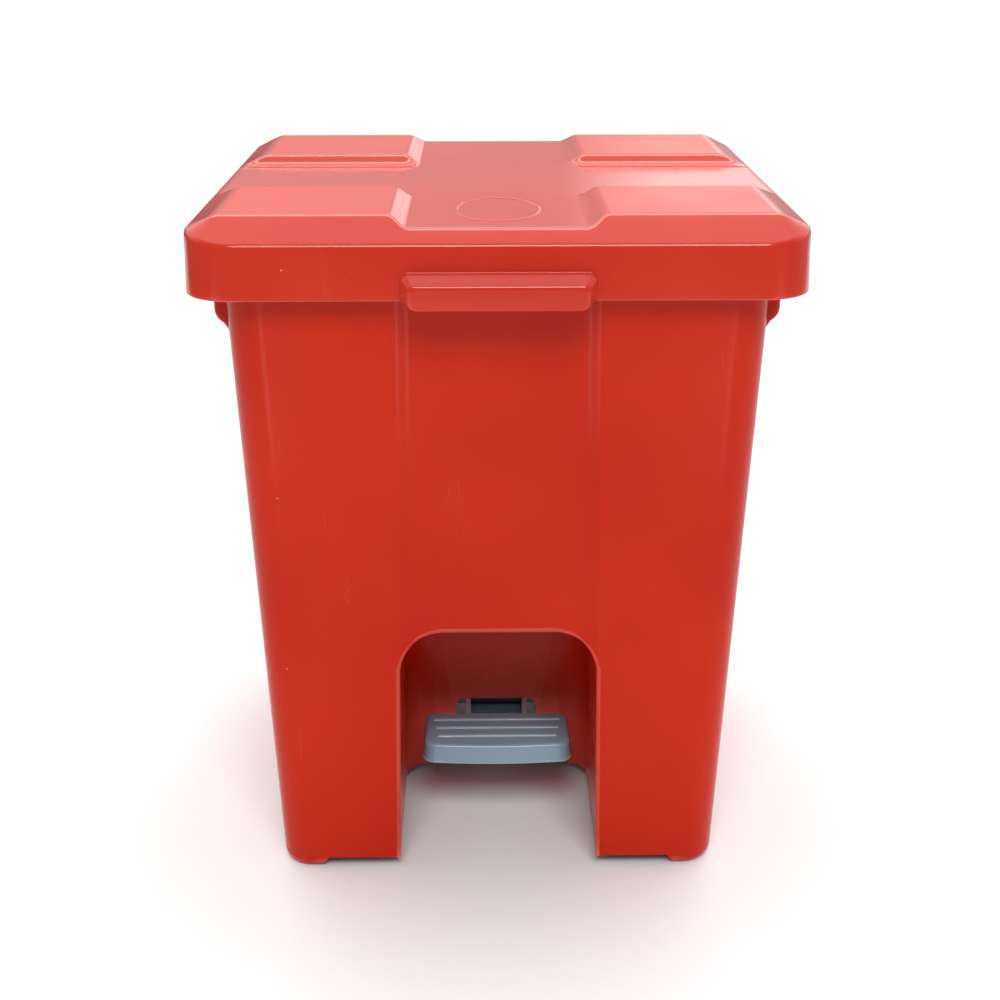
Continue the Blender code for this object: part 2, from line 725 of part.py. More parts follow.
def build_hinge_pin(side, steel, dark):
    reach = KNUCKLE_WIDTH / 2 + SIDE_PLAY + EAR_WIDTH
    sign = 1.0 if side == "right" else -1.0
    inner = HINGE_X - reach - GAP - NUT_HEIGHT - 1.5
    head = HINGE_X + reach + GAP
    profile = [
        (inner, PIN_RADIUS - 0.6), (inner + 0.6, PIN_RADIUS), (head, PIN_RADIUS),
        (head, HEAD_RADIUS), (head + HEAD_HEIGHT * 0.6, HEAD_RADIUS),
        (head + HEAD_HEIGHT, HEAD_RADIUS - 1.2),
    ]
    pin = turned("hinge_pin_" + side, [(sign * x, radius) for x, radius in profile],
                 HINGE_Y, HINGE_Z)
    finish_part(pin, steel)
    push_nut("hinge_nut_" + side, sign * (HINGE_X - reach - GAP), -sign, HINGE_Y, HINGE_Z, dark)


def bent_path(corners, radius, steps):
    """Straight runs between corners, with each inner corner rounded to radius."""
    path = [corners[0]]
    for before, corner, after in zip(corners, corners[1:], corners[2:]):
        arriving = (corner - before).normalized()
        leaving = (after - corner).normalized()
        half_turn = arriving.angle(leaving) / 2
        setback = radius * math.tan(half_turn)
        start = corner - arriving * setback
        centre = start + (leaving - arriving * leaving.dot(arriving)).normalized() * radius
        swing = arriving.cross(leaving).normalized()
        for step in range(steps + 1):
            turn = Matrix.Rotation(2 * half_turn * step / steps, 3, swing)
            path.append(centre + turn @ (start - centre))
    path.append(corners[-1])
    return path


def build_lift_rod(steel, dark, pivot):
    upper = Vector((0.0, TAB_Y, TAB_Z))
    lower = Vector((0.0, ROD_FOOT_Y, ROD_FOOT_Z))
    path = bent_path([
        upper + Vector((ROD_UPPER_END, 0.0, 0.0)), upper, lower,
        lower + Vector((ROD_LOWER_END, 0.0, 0.0)),
    ], ROD_BEND, 6)
    curve = bpy.data.curves.new("lift_rod", "CURVE")
    curve.dimensions = "3D"
    curve.bevel_depth = ROD_RADIUS * MM
    curve.bevel_resolution = 4
    curve.use_fill_caps = True
    spline = curve.splines.new("POLY")
    spline.points.add(len(path) - 1)
    for point, place in zip(spline.points, path):
        local = place * MM - pivot.location
        point.co = (local.x, local.y, local.z, 1.0)
    curve.materials.append(steel)
    rod = bpy.data.objects.new("lift_rod", curve)
    bpy.context.scene.collection.objects.link(rod)
    rod.parent = pivot
    push_nut("rod_nut_upper", TAB_LOW_X + TAB_WIDTH + GAP, 1.0, TAB_Y, TAB_Z, dark, pivot)
    push_nut("rod_nut_lower", FORK_HALF_X + GAP, 1.0, ROD_FOOT_Y, ROD_FOOT_Z, dark, pivot)


def build_bin():
    remove_everything()
    lid_axis = joint_empty("lid_hinge_axis", 0.0, HINGE_Y, HINGE_Z)
    pedal_axis = joint_empty("pedal_pivot_axis", 0.0, PIVOT_Y, PIVOT_Z)
    rod_axis = joint_empty("rod_pivot_axis", 0.0, TAB_Y, TAB_Z)
    bucket_axis = joint_empty("bucket_lift_axis", 0.0, 0.0, BODY_TOP)

    build_outer_shell(plain_material("shell_red", RED, 0.3, 0.0))
    build_lid(plain_material("lid_red", RED, 0.28, 0.0), lid_axis)
    build_inner_bucket(plain_material("bucket_black", BLACK, 0.45, 0.0), bucket_axis)
    build_pedal(plain_material("pedal_grey", GREY, 0.35, 0.0), pedal_axis)
    pin_steel = plain_material("pin_steel", STEEL, 0.3, 1.0)
    nut_steel = plain_material("nut_steel", STEEL, 0.4, 1.0)
    build_pivot_pin(pin_steel, nut_steel)
    build_hinge_pin("left", pin_steel, nut_steel)
    build_hinge_pin("right", pin_steel, nut_steel)
    build_lift_rod(plain_material("rod_steel", STEEL, 0.3, 1.0), nut_steel, rod_axis)


build_bin()
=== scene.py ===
"""Looks of the step-on waste bin: fine moulded surfaces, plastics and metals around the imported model.

Sizes are in millimetres and become metres when a mesh is made. +Z is up, -Y is the front,
and the origin is on the floor under the middle of the lid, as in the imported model.
"""
import math

import bmesh
import bpy
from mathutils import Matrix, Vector


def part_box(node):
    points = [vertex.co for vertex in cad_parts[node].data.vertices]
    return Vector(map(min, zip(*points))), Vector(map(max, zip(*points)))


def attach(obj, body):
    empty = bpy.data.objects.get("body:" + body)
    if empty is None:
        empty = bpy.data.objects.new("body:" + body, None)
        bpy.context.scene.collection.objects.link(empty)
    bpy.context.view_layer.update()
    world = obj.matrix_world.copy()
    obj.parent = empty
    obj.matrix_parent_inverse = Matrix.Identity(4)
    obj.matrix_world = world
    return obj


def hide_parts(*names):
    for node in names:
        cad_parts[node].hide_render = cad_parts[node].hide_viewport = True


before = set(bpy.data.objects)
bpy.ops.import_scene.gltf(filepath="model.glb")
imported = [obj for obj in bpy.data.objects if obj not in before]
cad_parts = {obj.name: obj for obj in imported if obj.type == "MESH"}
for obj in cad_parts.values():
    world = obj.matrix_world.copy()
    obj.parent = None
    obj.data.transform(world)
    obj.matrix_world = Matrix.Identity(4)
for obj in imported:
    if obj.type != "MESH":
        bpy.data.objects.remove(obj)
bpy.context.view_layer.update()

MM = 0.001


def box_mm(node):
    low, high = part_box(node)
    return low / MM, high / MM


LID_BOX = box_mm("lid")
PEDAL_BOX = box_mm("pedal")

# General
WALL = 2.5
GAP = 0.3
CORNER_STEPS = 14
ROUND_SIDES = 40
WELD_DISTANCE = 0.004
CREASE_ANGLE = 32

# Lid
LID_HALF_X = LID_BOX[1].x
LID_HALF_Y = 155.0
LID_LOW = 351.0
LID_SKIRT_TOP = 379.3
LID_SIDE_TOP = 383.7
LID_TOP = LID_BOX[1].z
LID_DRAFT = 0.73
LID_CHAMFER = 18.7
LID_SIDE_CHAMFER = 16.5
LID_CORNER = 26.0
LID_TOP_CORNER = 4.0
EDGE_ROUND = 3.6
HEM_ROUND = 0.7
VALLEY_FLOOR = 385.85
VALLEY_HALF_X = 47.1
VALLEY_FRONT = -50.0
VALLEY_REAR = 43.0
# how far the pads' sides run for each millimetre that they rise
SOFT_SLOPE = 1.29
REAR_SLOPE = 1.5
LEDGE_FRONT = 35.0
LEDGE_HEIGHT = 0.8
LEDGE_CORNER = 7.0
LEDGE_BLEND = 0.5
PAD_BLEND = 2.3
PAD_CORNER = 8.0
# the chamfer's rings run on past the lid's top, to this multiple of its width
CHAMFER_OVERRUN = 1.18
CORNER_CLOSING = 0.12
FINE_STEP = 0.6
PAD_STEP = 6.0
VALLEY_STEP = 7.0
STATIONS_END = 126.0
HEM_WELD = 0.02

# Plain oval moulded on the lid's front panel
BADGE_Y = -95.0
BADGE_HALF_X = 22.0
BADGE_HALF_Y = 31.0
BADGE_WIDTH = 2.4
BADGE_HEIGHT = 0.45

# Lip handle
LIP_HALF_X = 49.8
LIP_FACE_HALF_X = 44.5
LIP_FACE = -LID_BOX[0].y
LIP_LOW = 348.4
LIP_HIGH = 365.5
LIP_FACE_HIGH = 360.5
LIP_ROOT_LOW = LID_LOW + 0.3
LIP_CORNER = 5.5
LIP_FACE_CORNER = 2.5
LIP_LOW_CORNER = 3.0
LIP_ROOT_ROUND = 0.9
LIP_SHOULDER_ROUND = 2.4
LIP_EDGE_ROUND = 2.6

# Lid's inner ribs
FRAME_HALF_X = 124.0
FRAME_FRONT = -124.0
FRAME_REAR = 102.0
FRAME_LOW = 375.5
FRAME_WALL = 2.0
FRAME_CORNER = 14.0
RIB_ROOT = VALLEY_FLOOR - 1.2
REST_INNER = 146.8
REST_LOW = 360.3
REST_PLACES = (-90.0, 60.0)

# Body
BODY_TOP = 372.0
BODY_HALF_X = 126.6
BODY_FRONT = 126.6
BODY_REAR = 124.0
SIDE_DRAFT = 0.0425
FRONT_DRAFT = 0.0494
REAR_DRAFT = 0.0484
BODY_CORNER = 18.0
CORNER_GROWTH = 0.010
RIM_WIDTH = 4.0
RIM_HEIGHT = 3.0
STRIP_HALF_X = 48.6
STRIP_SLOPE = 9.0
STRIP_NARROWING = 0.0105
STRIP_DEPTH = 3.5
STRIP_STRAIGHT = 0.45
CHANNEL_HALF_X = 18.0
CHANNEL_DEPTH = 24.0
SKIRT_LOW = 7.0
FOOT_INNER = 104.5
FOOT_SLOPE = 5.5
FOOT_ROUND = 6.0
WINDOW_HALF_X = 14.0
WINDOW_FRONT = 92.0
WINDOW_REAR = 112.0
WINDOW_LOW = -5.0
WINDOW_TOP = 108.0

# Foot recess
ARCH_HALF_X = 57.7
ARCH_DRAFT = 0.018
ARCH_TOP = 155.6
ARCH_RADIUS = 25.0
ARCH_SPRING = ARCH_TOP - ARCH_RADIUS
ARCH_REAR = -27.0
ARCH_REAR_DRAFT = 0.02
ARCH_CORNER = 15.0
ARCH_BEAD_OFFSET = 0.8
ARCH_BEAD_RADIUS = 1.4
ARCH_BEAD_DEPTH = 0.6
SLOT_HALF_X = 25.5
SLOT_LOW = 22.0
SLOT_HIGH = 55.0
SLOT_CORNER = 5.0

# Side grips
GRIP_OUTER = 148.5
GRIP_INNER = 139.6
GRIP_TOP = 360.0
GRIP_LIP = 338.0
GRIP_LOW = 325.0
GRIP_FRONT = -122.0
GRIP_REAR = 108.0
GRIP_HOLLOW_INNER = 142.6
GRIP_ROUND = 1.2
GRIP_LIP_ROUND = 8.0
GRIP_END_ROUND = 4.0

# Hinge
HINGE_Y = 160.0
HINGE_Z = 342.0
HINGE_X = 88.0
KNUCKLE_RADIUS = 7.0
KNUCKLE_WIDTH = 24.0
EAR_WIDTH = 4.0
EAR_ROOT_Y = 138.0
EAR_ROOT_LOW = 26.0
EAR_ROOT_HIGH = 6.5
SIDE_PLAY = 0.5
HINGE_BORE = (-130.0, 130.0)
PIN_RADIUS = 2.5
HEAD_RADIUS = 4.5
HEAD_HEIGHT = 2.0
PIN_EASE = 0.6
NUT_RADIUS = 5.5
NUT_HEIGHT = 1.5
HINGE_PIN_REACH = 1.5
PIVOT_PIN_REACH = 2.5
LID_KNUCKLE_LOW = 4.0
LID_KNUCKLE_HIGH = 30.0

# Lift tab and push rod
TAB_Y = 128.0
TAB_Z = 338.0
TAB_LOW_X = 6.5
TAB_WIDTH = 6.0
TAB_RADIUS = 6.5
TAB_FRONT = 121.5
ROD_RADIUS = 2.5
ROD_BEND = 5.5
ROD_FOOT_Y = 114.0
ROD_FOOT_Z = 50.0
ROD_UPPER_END = 16.0
ROD_LOWER_END = 13.0

# Pedal
PIVOT_Y = -5.0
PIVOT_Z = 46.0
PIVOT_EAR_LOW_X = 27.0
PIVOT_EAR_WIDTH = 3.5
PIVOT_EAR_REACH = 9.0
PIVOT_EAR_LOW = 16.0
PIVOT_EAR_HIGH = 18.0
PIVOT_BORE = (-40.0, 40.0)
HUB_RADIUS = 7.0
TREAD_FRONT = PEDAL_BOX[0].y + 1.2
TREAD_REAR = -47.0
TREAD_LOW = 44.0
TREAD_HIGH = 55.8
TREAD_HALF_X = 45.0
# height above TREAD_LOW and reach of the flange round the tread's lower edge
TREAD_FLANGE = ((0.0, 0.0), (0.3, 0.3), (1.2, 0.3), (1.6, 0.0))
TREAD_TAPER = 1.6
TREAD_CROWN = 2.6
TREAD_BOW = 1.8
TREAD_CORNER = 8.0
TREAD_REAR_CORNER = 5.0
TREAD_WALL = 2.2
RIDGE_HALF_X = (40.0, 38.5, 37.0)
RIDGE_START = 9.0
RIDGE_PITCH = 9.5
RIDGE_RADIUS = 1.5
RIDGE_SINK = 0.4
# share of the half width and of the height, toward each end
RIDGE_ENDS = ((0.96, 1.0), (0.985, 0.75), (1.0, 0.2))
ARM_RIB = 3.0
ARM_WEB = 3.2
FORK_HALF_X = 9.5
ARM_STATIONS = (
    # y, half width, rib bottom, rib top
    (-82.0, 19.0, 47.0, 54.6),
    (-47.0, 19.0, 42.0, 54.6),
    (-24.0, 19.5, 39.0, 54.2),
    (-5.0, 20.0, 38.0, 55.0),
    (22.0, 19.0, 38.0, 55.0),
    (92.0, FORK_HALF_X, 40.0, 59.0),
    (122.0, FORK_HALF_X, 41.0, 59.0),
)
FORK_START = 97.0
LOST_MOTION_Y = 7.0
LOST_MOTION_Z = 4.4
LOST_MOTION_CORNER = 2.6

# Inner bucket
BUCKET_INSET = 5.7
BUCKET_FLOOR = 168.0
BUCKET_ROUND = 3.0
FLANGE_HEIGHT = 2.5
FLANGE_INSET = -1.0
HOLD_HALF_Y = 38.0
HOLD_LOW = 343.0
HOLD_HIGH = 361.0
HOLD_CORNER = 8.0

# Studio
FLOOR_HALF = 1500.0
# the rear wall's light by place across it, from 0 at left to 1 at right
WALL_LIGHT = ((0.1, 0.40), (0.45, 0.30), (0.56, 0.32), (0.62, 1.0), (0.75, 1.0), (0.85, 0.7))
WALL_LEVEL = 1.6
HORIZON_LEVEL = 0.4
HIGH_LIGHT = 1.6
FRONT_LIGHT = 0.16


# ---------------------------------------------------------------- outlines

def arc(centre_u, centre_v, radius, start, end, steps):
    """Points on a circle from start to end, in degrees."""
    points = []
    for step in range(steps + 1):
        angle = math.radians(start + (end - start) * step / steps)
        points.append((centre_u + radius * math.cos(angle), centre_v + radius * math.sin(angle)))
    return points


def rounded_box(low_u, high_u, low_v, high_v, radius, steps=CORNER_STEPS):
    """A rectangle with four round corners, counter-clockwise."""
    outline = arc(high_u - radius, low_v + radius, radius, -90, 0, steps)
    outline += arc(high_u - radius, high_v - radius, radius, 0, 90, steps)
    outline += arc(low_u + radius, high_v - radius, radius, 90, 180, steps)
    outline += arc(low_u + radius, low_v + radius, radius, 180, 270, steps)
    return outline


def circle(centre_u, centre_v, radius, sides=ROUND_SIDES):
    return arc(centre_u, centre_v, radius, 0, 360 - 360 / sides, sides - 1)


def section(outline, axis, depth):
    """An outline in the other two axes, in X, Y, Z order, placed along one axis."""
    return [Vector({"X": (depth, u, v), "Y": (u, depth, v), "Z": (u, v, depth)}[axis]) for u, v in outline]


def on_side(side, outline):
    """An outline drawn for the right side, mirrored if the side is the left."""
    return [(u if side == "right" else -u, v) for u, v in outline]


def quarter_round(radius, step=15):
    """(inset, rise) pairs that go round a quarter circle, from full inset to full rise."""
    turns = [math.radians(angle) for angle in range(0, 91, step)]
    return [(radius * (1 - math.sin(turn)), radius * (1 - math.cos(turn))) for turn in turns]


def fillet(before, corner, after, radius, steps):
    """The arc that rounds one corner of a profile or a path."""
    arriving = (Vector(corner) - Vector(before)).normalized()
    leaving = (Vector(after) - Vector(corner)).normalized()
    half_turn = arriving.angle(leaving) / 2
    setback = radius * math.tan(half_turn)
    start = Vector(corner) - arriving * setback
    inward = (leaving - arriving * leaving.dot(arriving)).normalized()
    centre = start + inward * radius
    points = []
    for step in range(steps + 1):
        turn = 2 * half_turn * step / steps
        points.append(centre + (arriving * math.sin(turn) - inward * math.cos(turn)) * radius)
    return points


def spread(low, high, step):
    """Evenly spaced values from low to high, at most step apart."""
    count = max(1, math.ceil((high - low) / step - 1e-6))
    return [low + (high - low) * index / count for index in range(count + 1)]


# ---------------------------------------------------------------- solids

def mesh_object(name, mesh_data):
    """A named object whose mesh has its faces pointing out, in metres."""
    bmesh.ops.recalc_face_normals(mesh_data, faces=mesh_data.faces)
    bmesh.ops.scale(mesh_data, vec=(MM, MM, MM), verts=mesh_data.verts)
    mesh = bpy.data.meshes.new(name)
    mesh_data.to_mesh(mesh)
    mesh_data.free()
    item = bpy.data.objects.new(name, mesh)
    bpy.context.scene.collection.objects.link(item)
    return item


def skin_between(mesh_data, lower, upper):
    count = len(lower)
    for index in range(count):
        following = (index + 1) % count
        mesh_data.faces.new((lower[index], lower[following], upper[following], upper[index]))


def loft(name, rings, closed=False):
    """Skin a row of rings; open rows get a cap at each end, closed rows join up."""
    mesh_data = bmesh.new()
    loops = [[mesh_data.verts.new(point) for point in ring] for ring in rings]
    pairs = list(zip(loops, loops[1:]))
    if closed:
        pairs.append((loops[-1], loops[0]))
    for lower, upper in pairs:
        skin_between(mesh_data, lower, upper)
    if not closed:
        mesh_data.faces.new(list(reversed(loops[0])))
        mesh_data.faces.new(loops[-1])
    return mesh_object(name, mesh_data)


def prism(name, outline, axis, low, high):
    """An outline drawn out along one axis."""
    return loft(name, [section(outline, axis, depth) for depth in (low, high)])


def bore(name, radius, y, z, ends):
    """A cutter along X for the hole round a pin or rod of this radius."""
    return prism(name, circle(y, z, radius + GAP), "X", *ends)


def box(name, low, high):
    outline = [(low[0], low[1]), (high[0], low[1]), (high[0], high[1]), (low[0], high[1])]
    return prism(name, outline, "Z", low[2], high[2])


def turned(name, profile, y, z, closed=False):
    """Turn (x, radius) pairs about a line along X through y, z."""
    return loft(name, [section(circle(y, z, radius), "X", x) for x, radius in profile], closed)


def combine(target, operation, tools):
    """Add the tools to the target or cut them from it, and keep the result as its mesh."""
    for tool in tools:
        modifier = target.modifiers.new(tool.name, "BOOLEAN")
        modifier.operation = operation
        modifier.solver = "EXACT"
        modifier.object = tool
    bpy.context.view_layer.update()
    evaluated = target.evaluated_get(bpy.context.evaluated_depsgraph_get())
    result = bpy.data.meshes.new_from_object(evaluated)
    target.modifiers.clear()
    target.data = result
    for tool in tools:
        bpy.data.objects.remove(tool, do_unlink=True)


def cut(target, *tools):
    combine(target, "DIFFERENCE", tools)


def add(target, *tools):
    combine(target, "UNION", tools)


def finish_piece(item, body, slot, material, *nodes):
    """Smooth shading that keeps flat faces flat, then the piece's body and material; slot is not used."""
    mesh_data = bmesh.new()
    mesh_data.from_mesh(item.data)
    bmesh.ops.remove_doubles(mesh_data, verts=mesh_data.verts, dist=WELD_DISTANCE * MM)
    bmesh.ops.dissolve_degenerate(mesh_data, edges=mesh_data.edges, dist=WELD_DISTANCE * MM)
    mesh_data.to_mesh(item.data)
    mesh_data.free()
    item.data.materials.clear()
    item.data.materials.append(material)
    item.data.shade_smooth()
    item.data.set_sharp_from_angle(angle=math.radians(CREASE_ANGLE))
    weighted = item.modifiers.new("weighted_normals", "WEIGHTED_NORMAL")
    weighted.keep_sharp = True
    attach(item, body)
    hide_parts(*nodes)


def span(side, low, high):
    return (low, high) if side == "right" else (-high, -low)


# ---------------------------------------------------------------- lid surface

def soft_min(a, b, blend):
    nearness = max(blend - abs(a - b), 0.0) / blend
    return min(a, b) - nearness * nearness * blend / 4


def soft_max(a, b, blend):
    return -soft_min(-a, -b, blend)


def rounded_rise(across, lengthwise, corner):
    """How far up a pad's side a place lies; the pad's corner is round in plan."""
    if min(across, lengthwise) > corner:
        return min(across, lengthwise)
    return corner - math.hypot(max(corner - across, 0.0), max(corner - lengthwise, 0.0))


def pad_height(x, y):
    """Height of the four pads, the ledges before the rear ones and the cross-shaped valley."""
    across = (abs(x) - VALLEY_HALF_X) / SOFT_SLOPE
    floor = VALLEY_FLOOR
    if y > 0:
        step = rounded_rise(abs(x) - VALLEY_HALF_X, y - LEDGE_FRONT, LEDGE_CORNER)
        floor += soft_min(soft_max(step, 0.0, LEDGE_BLEND), LEDGE_HEIGHT, LEDGE_BLEND)
        lengthwise = (y - VALLEY_REAR) / REAR_SLOPE
    else:
        lengthwise = (VALLEY_FRONT - y) / SOFT_SLOPE
    rise = soft_max(floor, VALLEY_FLOOR + rounded_rise(across, lengthwise, PAD_CORNER), PAD_BLEND)
    return soft_min(rise, LID_TOP, PAD_BLEND)


def edge_profile(skirt_top, chamfer, wall):
    """(inset, height) points up the skirt, round its top edge and up the chamfer, past the top."""
    slope = (LID_TOP - skirt_top) / chamfer
    rise = wall * math.sqrt(1 + slope * slope)
    low = (wall, LID_LOW)
    corner = (LID_DRAFT + wall, skirt_top + slope * wall - rise)
    reach = CHAMFER_OVERRUN * chamfer + LID_DRAFT
    end = (reach, corner[1] + slope * (reach - corner[0]))
    points = []
    if wall == 0:
        points += arc(HEM_ROUND, LID_LOW + HEM_ROUND, HEM_ROUND, 270, 180, 4)
    else:
        points += [low] * 5
    skirt_end = fillet(low, corner, end, EDGE_ROUND - wall * 0.4, 8)
    for share in (0.1, 0.35, 0.65, 0.9):
        points.append(Vector(points[4]).lerp(skirt_end[0], share))
    points += skirt_end
    for share in spread(0.0, 1.0, 1 / 34)[1:]:
        points.append(skirt_end[-1].lerp(Vector(end), share))
    return points


def lid_stations():
    """Places along X and Y that every ring shares: fine over the slopes, coarse between."""
    inner_x = spread(0.0, VALLEY_HALF_X - 2.5, VALLEY_STEP)
    inner_x += spread(VALLEY_HALF_X - 2.0, VALLEY_HALF_X + 12.0, FINE_STEP)
    inner_x += spread(VALLEY_HALF_X + 13.5, STATIONS_END + 4.0, PAD_STEP)
    xs = [-x for x in reversed(inner_x[1:])] + inner_x
    ys = spread(-STATIONS_END, VALLEY_FRONT - 13.5, PAD_STEP)
    ys += spread(VALLEY_FRONT - 12.0, VALLEY_FRONT + 2.0, FINE_STEP)
    ys += spread(VALLEY_FRONT + 4.0, LEDGE_FRONT - 2.5, VALLEY_STEP)
    ys += spread(LEDGE_FRONT - 1.5, LEDGE_FRONT + 2.5, 0.4)
    ys += spread(LEDGE_FRONT + 3.1, VALLEY_REAR + 12.0, FINE_STEP)
    ys += spread(VALLEY_REAR + 14.0, STATIONS_END, PAD_STEP)
    return xs, ys


def lid_skin(mesh_data, wall):
    """One face of the lid's wall: rings up the rim, then a grid over the top."""
    xs, ys = lid_stations()
    front = edge_profile(LID_SKIRT_TOP, LID_CHAMFER, wall)
    side = edge_profile(LID_SIDE_TOP, LID_SIDE_CHAMFER, wall)
    rings = []
    for (inset_y, z_front), (inset_x, z_side) in zip(front, side):
        half_x = LID_HALF_X - inset_x
        half_y = LID_HALF_Y - inset_y
        climb = max(0.0, (inset_y - LID_DRAFT - wall) / LID_CHAMFER)
        radius = max((LID_CORNER - wall) * (1 - climb / CHAMFER_OVERRUN), 0.0)
        if climb > 0:
            radius = max(radius - (LID_CORNER - LID_TOP_CORNER) * CORNER_CLOSING * climb, 0.0)
        rings.append(lid_rim_ring(mesh_data, xs, ys, half_x, half_y, radius, z_front, z_side, wall))
    for lower, upper in zip(rings, rings[1:]):
        skin_between(mesh_data, lower, upper)
    edge_x = LID_HALF_X - side[-1][0]
    edge_y = LID_HALF_Y - front[-1][0]
    grid_x = [-edge_x] + xs + [edge_x]
    grid_y = [-edge_y] + ys + [edge_y]
    rows = []
    for y in grid_y:
        rows.append([mesh_data.verts.new((x, y, pad_height(x, y) - wall)) for x in grid_x])
    for lower, upper in zip(rows, rows[1:]):
        for a, b, c, d in zip(lower, lower[1:], upper[1:], upper):
            mesh_data.faces.new((a, b, c, d))
    return rings[0]


def lid_rim_ring(mesh_data, xs, ys, half_x, half_y, radius, z_front, z_side, wall):
    """One ring round the rim; its corners blend the front's height into the side's."""
    centre_x = half_x - radius
    centre_y = half_y - radius
    points = [(x, -half_y, 0.0) for x in xs]
    corners = ((centre_x, -centre_y, -90), (centre_x, centre_y, 0), (-centre_x, centre_y, 90),
               (-centre_x, -centre_y, 180))
    sides = ([(half_x, y, 1.0) for y in ys], [(x, half_y, 0.0) for x in reversed(xs)],
             [(-half_x, y, 1.0) for y in reversed(ys)], [])
    for (u, v, start), straight in zip(corners, sides):
        for px, py in arc(u, v, radius, start, start + 90, CORNER_STEPS):
            turn = math.atan2(abs(py - v), abs(px - u)) if radius > 1e-6 else math.pi / 4
            points.append((px, py, math.cos(turn) ** 2))
        points += straight
    ring = []
    for x, y, sideways in points:
        rim = z_front + (z_side - z_front) * sideways
        z = soft_min(rim, pad_height(x, y) - wall, PAD_BLEND)
        ring.append(mesh_data.verts.new((x, y, z)))
    return ring


def lip_ring(y, half_x, low, high, upper_corner, lower_corner):
    outline = arc(half_x - upper_corner, high - upper_corner, upper_corner, 0, 90, 8)
    outline += arc(-half_x + upper_corner, high - upper_corner, upper_corner, 90, 180, 8)
    outline += arc(-half_x + lower_corner, low + lower_corner, lower_corner, 180, 270, 8)
    outline += arc(half_x - lower_corner, low + lower_corner, lower_corner, 270, 360, 8)
    return section(outline, "Y", y)


def lip_block():
    """The handle on the lid's front: sloping top and sides, and a flat face with rounded edges."""
    root = (-LID_HALF_Y + 0.2, LIP_HIGH - 0.1)
    shoulder = (-LID_HALF_Y - 2.2, LIP_HIGH - 0.2)
    edge = (-LIP_FACE, LIP_FACE_HIGH)
    profile = [(-LID_HALF_Y + WALL - 0.3, LIP_HIGH + 1.4), (-LID_HALF_Y + 1.0, LIP_HIGH + 1.2)]
    profile += fillet((root[0], root[1] + 5), root, shoulder, LIP_ROOT_ROUND, 4)
    profile += fillet(root, shoulder, edge, LIP_SHOULDER_ROUND, 5)
    profile += fillet(shoulder, edge, (edge[0], edge[1] - 5), LIP_EDGE_ROUND, 8)
    rings = []
    for y, high in profile:
        share = (LIP_HIGH - min(high, LIP_HIGH)) / (LIP_HIGH - LIP_FACE_HIGH)
        half_x = LIP_HALF_X + (LIP_FACE_HALF_X - LIP_HALF_X) * share + max(high - LIP_HIGH, 0.0)
        low = LIP_ROOT_LOW + (LIP_LOW - LIP_ROOT_LOW) * min(share, 1.0)
        corner = LIP_CORNER - (LIP_CORNER - LIP_FACE_CORNER) * min(share, 1.0)
        rings.append(lip_ring(y, half_x, low, high, corner, LIP_LOW_CORNER))
    return loft("lip_block", rings)


def lip_hollow():
    inner = LIP_HALF_X - WALL
    low = LIP_LOW - 10
    return loft("lip_hollow", [
        lip_ring(-LID_HALF_Y + WALL + 2, inner, low, LIP_HIGH - WALL, 3.0, 1.0),
        lip_ring(-LID_HALF_Y - 1.0, inner, low, LIP_HIGH - WALL, 3.0, 1.0),
        lip_ring(-LIP_FACE + WALL, LIP_FACE_HALF_X - 1.5, low, LIP_FACE_HIGH - WALL, 2.0, 1.0),
    ])


def lift_tab():
    """The web under the lid whose round end holds the rod's upper hook."""
    rear = LID_HALF_Y - 1.5
    chamfer_rear = LID_HALF_Y - 10.5
    outline = [(TAB_FRONT, RIB_ROOT), (TAB_FRONT, TAB_Z)]
    outline += arc(TAB_Y, TAB_Z, TAB_RADIUS, 180, 345, 20)
    outline += [(rear, LID_LOW + 8.0), (rear, LID_SKIRT_TOP - 1.0), (chamfer_rear, RIB_ROOT)]
    return prism("lift_tab", outline, "X", TAB_LOW_X, TAB_LOW_X + TAB_WIDTH)


def lid_knuckle(side):
    root_y = LID_HALF_Y - 1.5
    outline = [(root_y, HINGE_Z + LID_KNUCKLE_HIGH), (root_y, HINGE_Z + LID_KNUCKLE_LOW)]
    outline += arc(HINGE_Y, HINGE_Z, KNUCKLE_RADIUS, 150, 370, 26)
    outline += [(LID_HALF_Y + 3.0, HINGE_Z + LID_KNUCKLE_HIGH - 2.0)]
    half = KNUCKLE_WIDTH / 2
    return prism("lid_knuckle_" + side, outline, "X", *span(side, HINGE_X - half, HINGE_X + half))


def lid_frame():
    """The upright wall that stiffens the lid's underside, cut off just under the lid's top."""
    rings = []
    for inset, z in ((0.0, FRAME_LOW), (0.0, RIB_ROOT), (FRAME_WALL, RIB_ROOT), (FRAME_WALL, FRAME_LOW)):
        outline = rounded_box(-FRAME_HALF_X + inset, FRAME_HALF_X - inset,
                              FRAME_FRONT + inset, FRAME_REAR - inset, FRAME_CORNER - inset, 8)
        rings.append(section(outline, "Z", z))
    return loft("lid_frame", rings, closed=True)


def rest_rib(side, y):
    low_x, high_x = span(side, REST_INNER, LID_HALF_X - 1.2)
    name = "rest_rib_" + side + str(REST_PLACES.index(y))
    return box(name, (low_x, y - WALL / 2, REST_LOW), (high_x, y + WALL / 2, LID_SKIRT_TOP))


def oval_badge():
    """A plain raised oval on the lid's front panel."""
    rings = []
    low = VALLEY_FLOOR - 0.5
    for angle in range(0, 181, 20):
        turn = math.radians(angle)
        shift = BADGE_WIDTH / 2 * math.cos(turn)
        z = VALLEY_FLOOR - 0.05 + BADGE_HEIGHT * math.sin(turn)
        rings.append(oval_ring(shift, z))
    rings += [oval_ring(-BADGE_WIDTH / 2, low), oval_ring(BADGE_WIDTH / 2, low)]
    return loft("oval_badge", rings, closed=True)


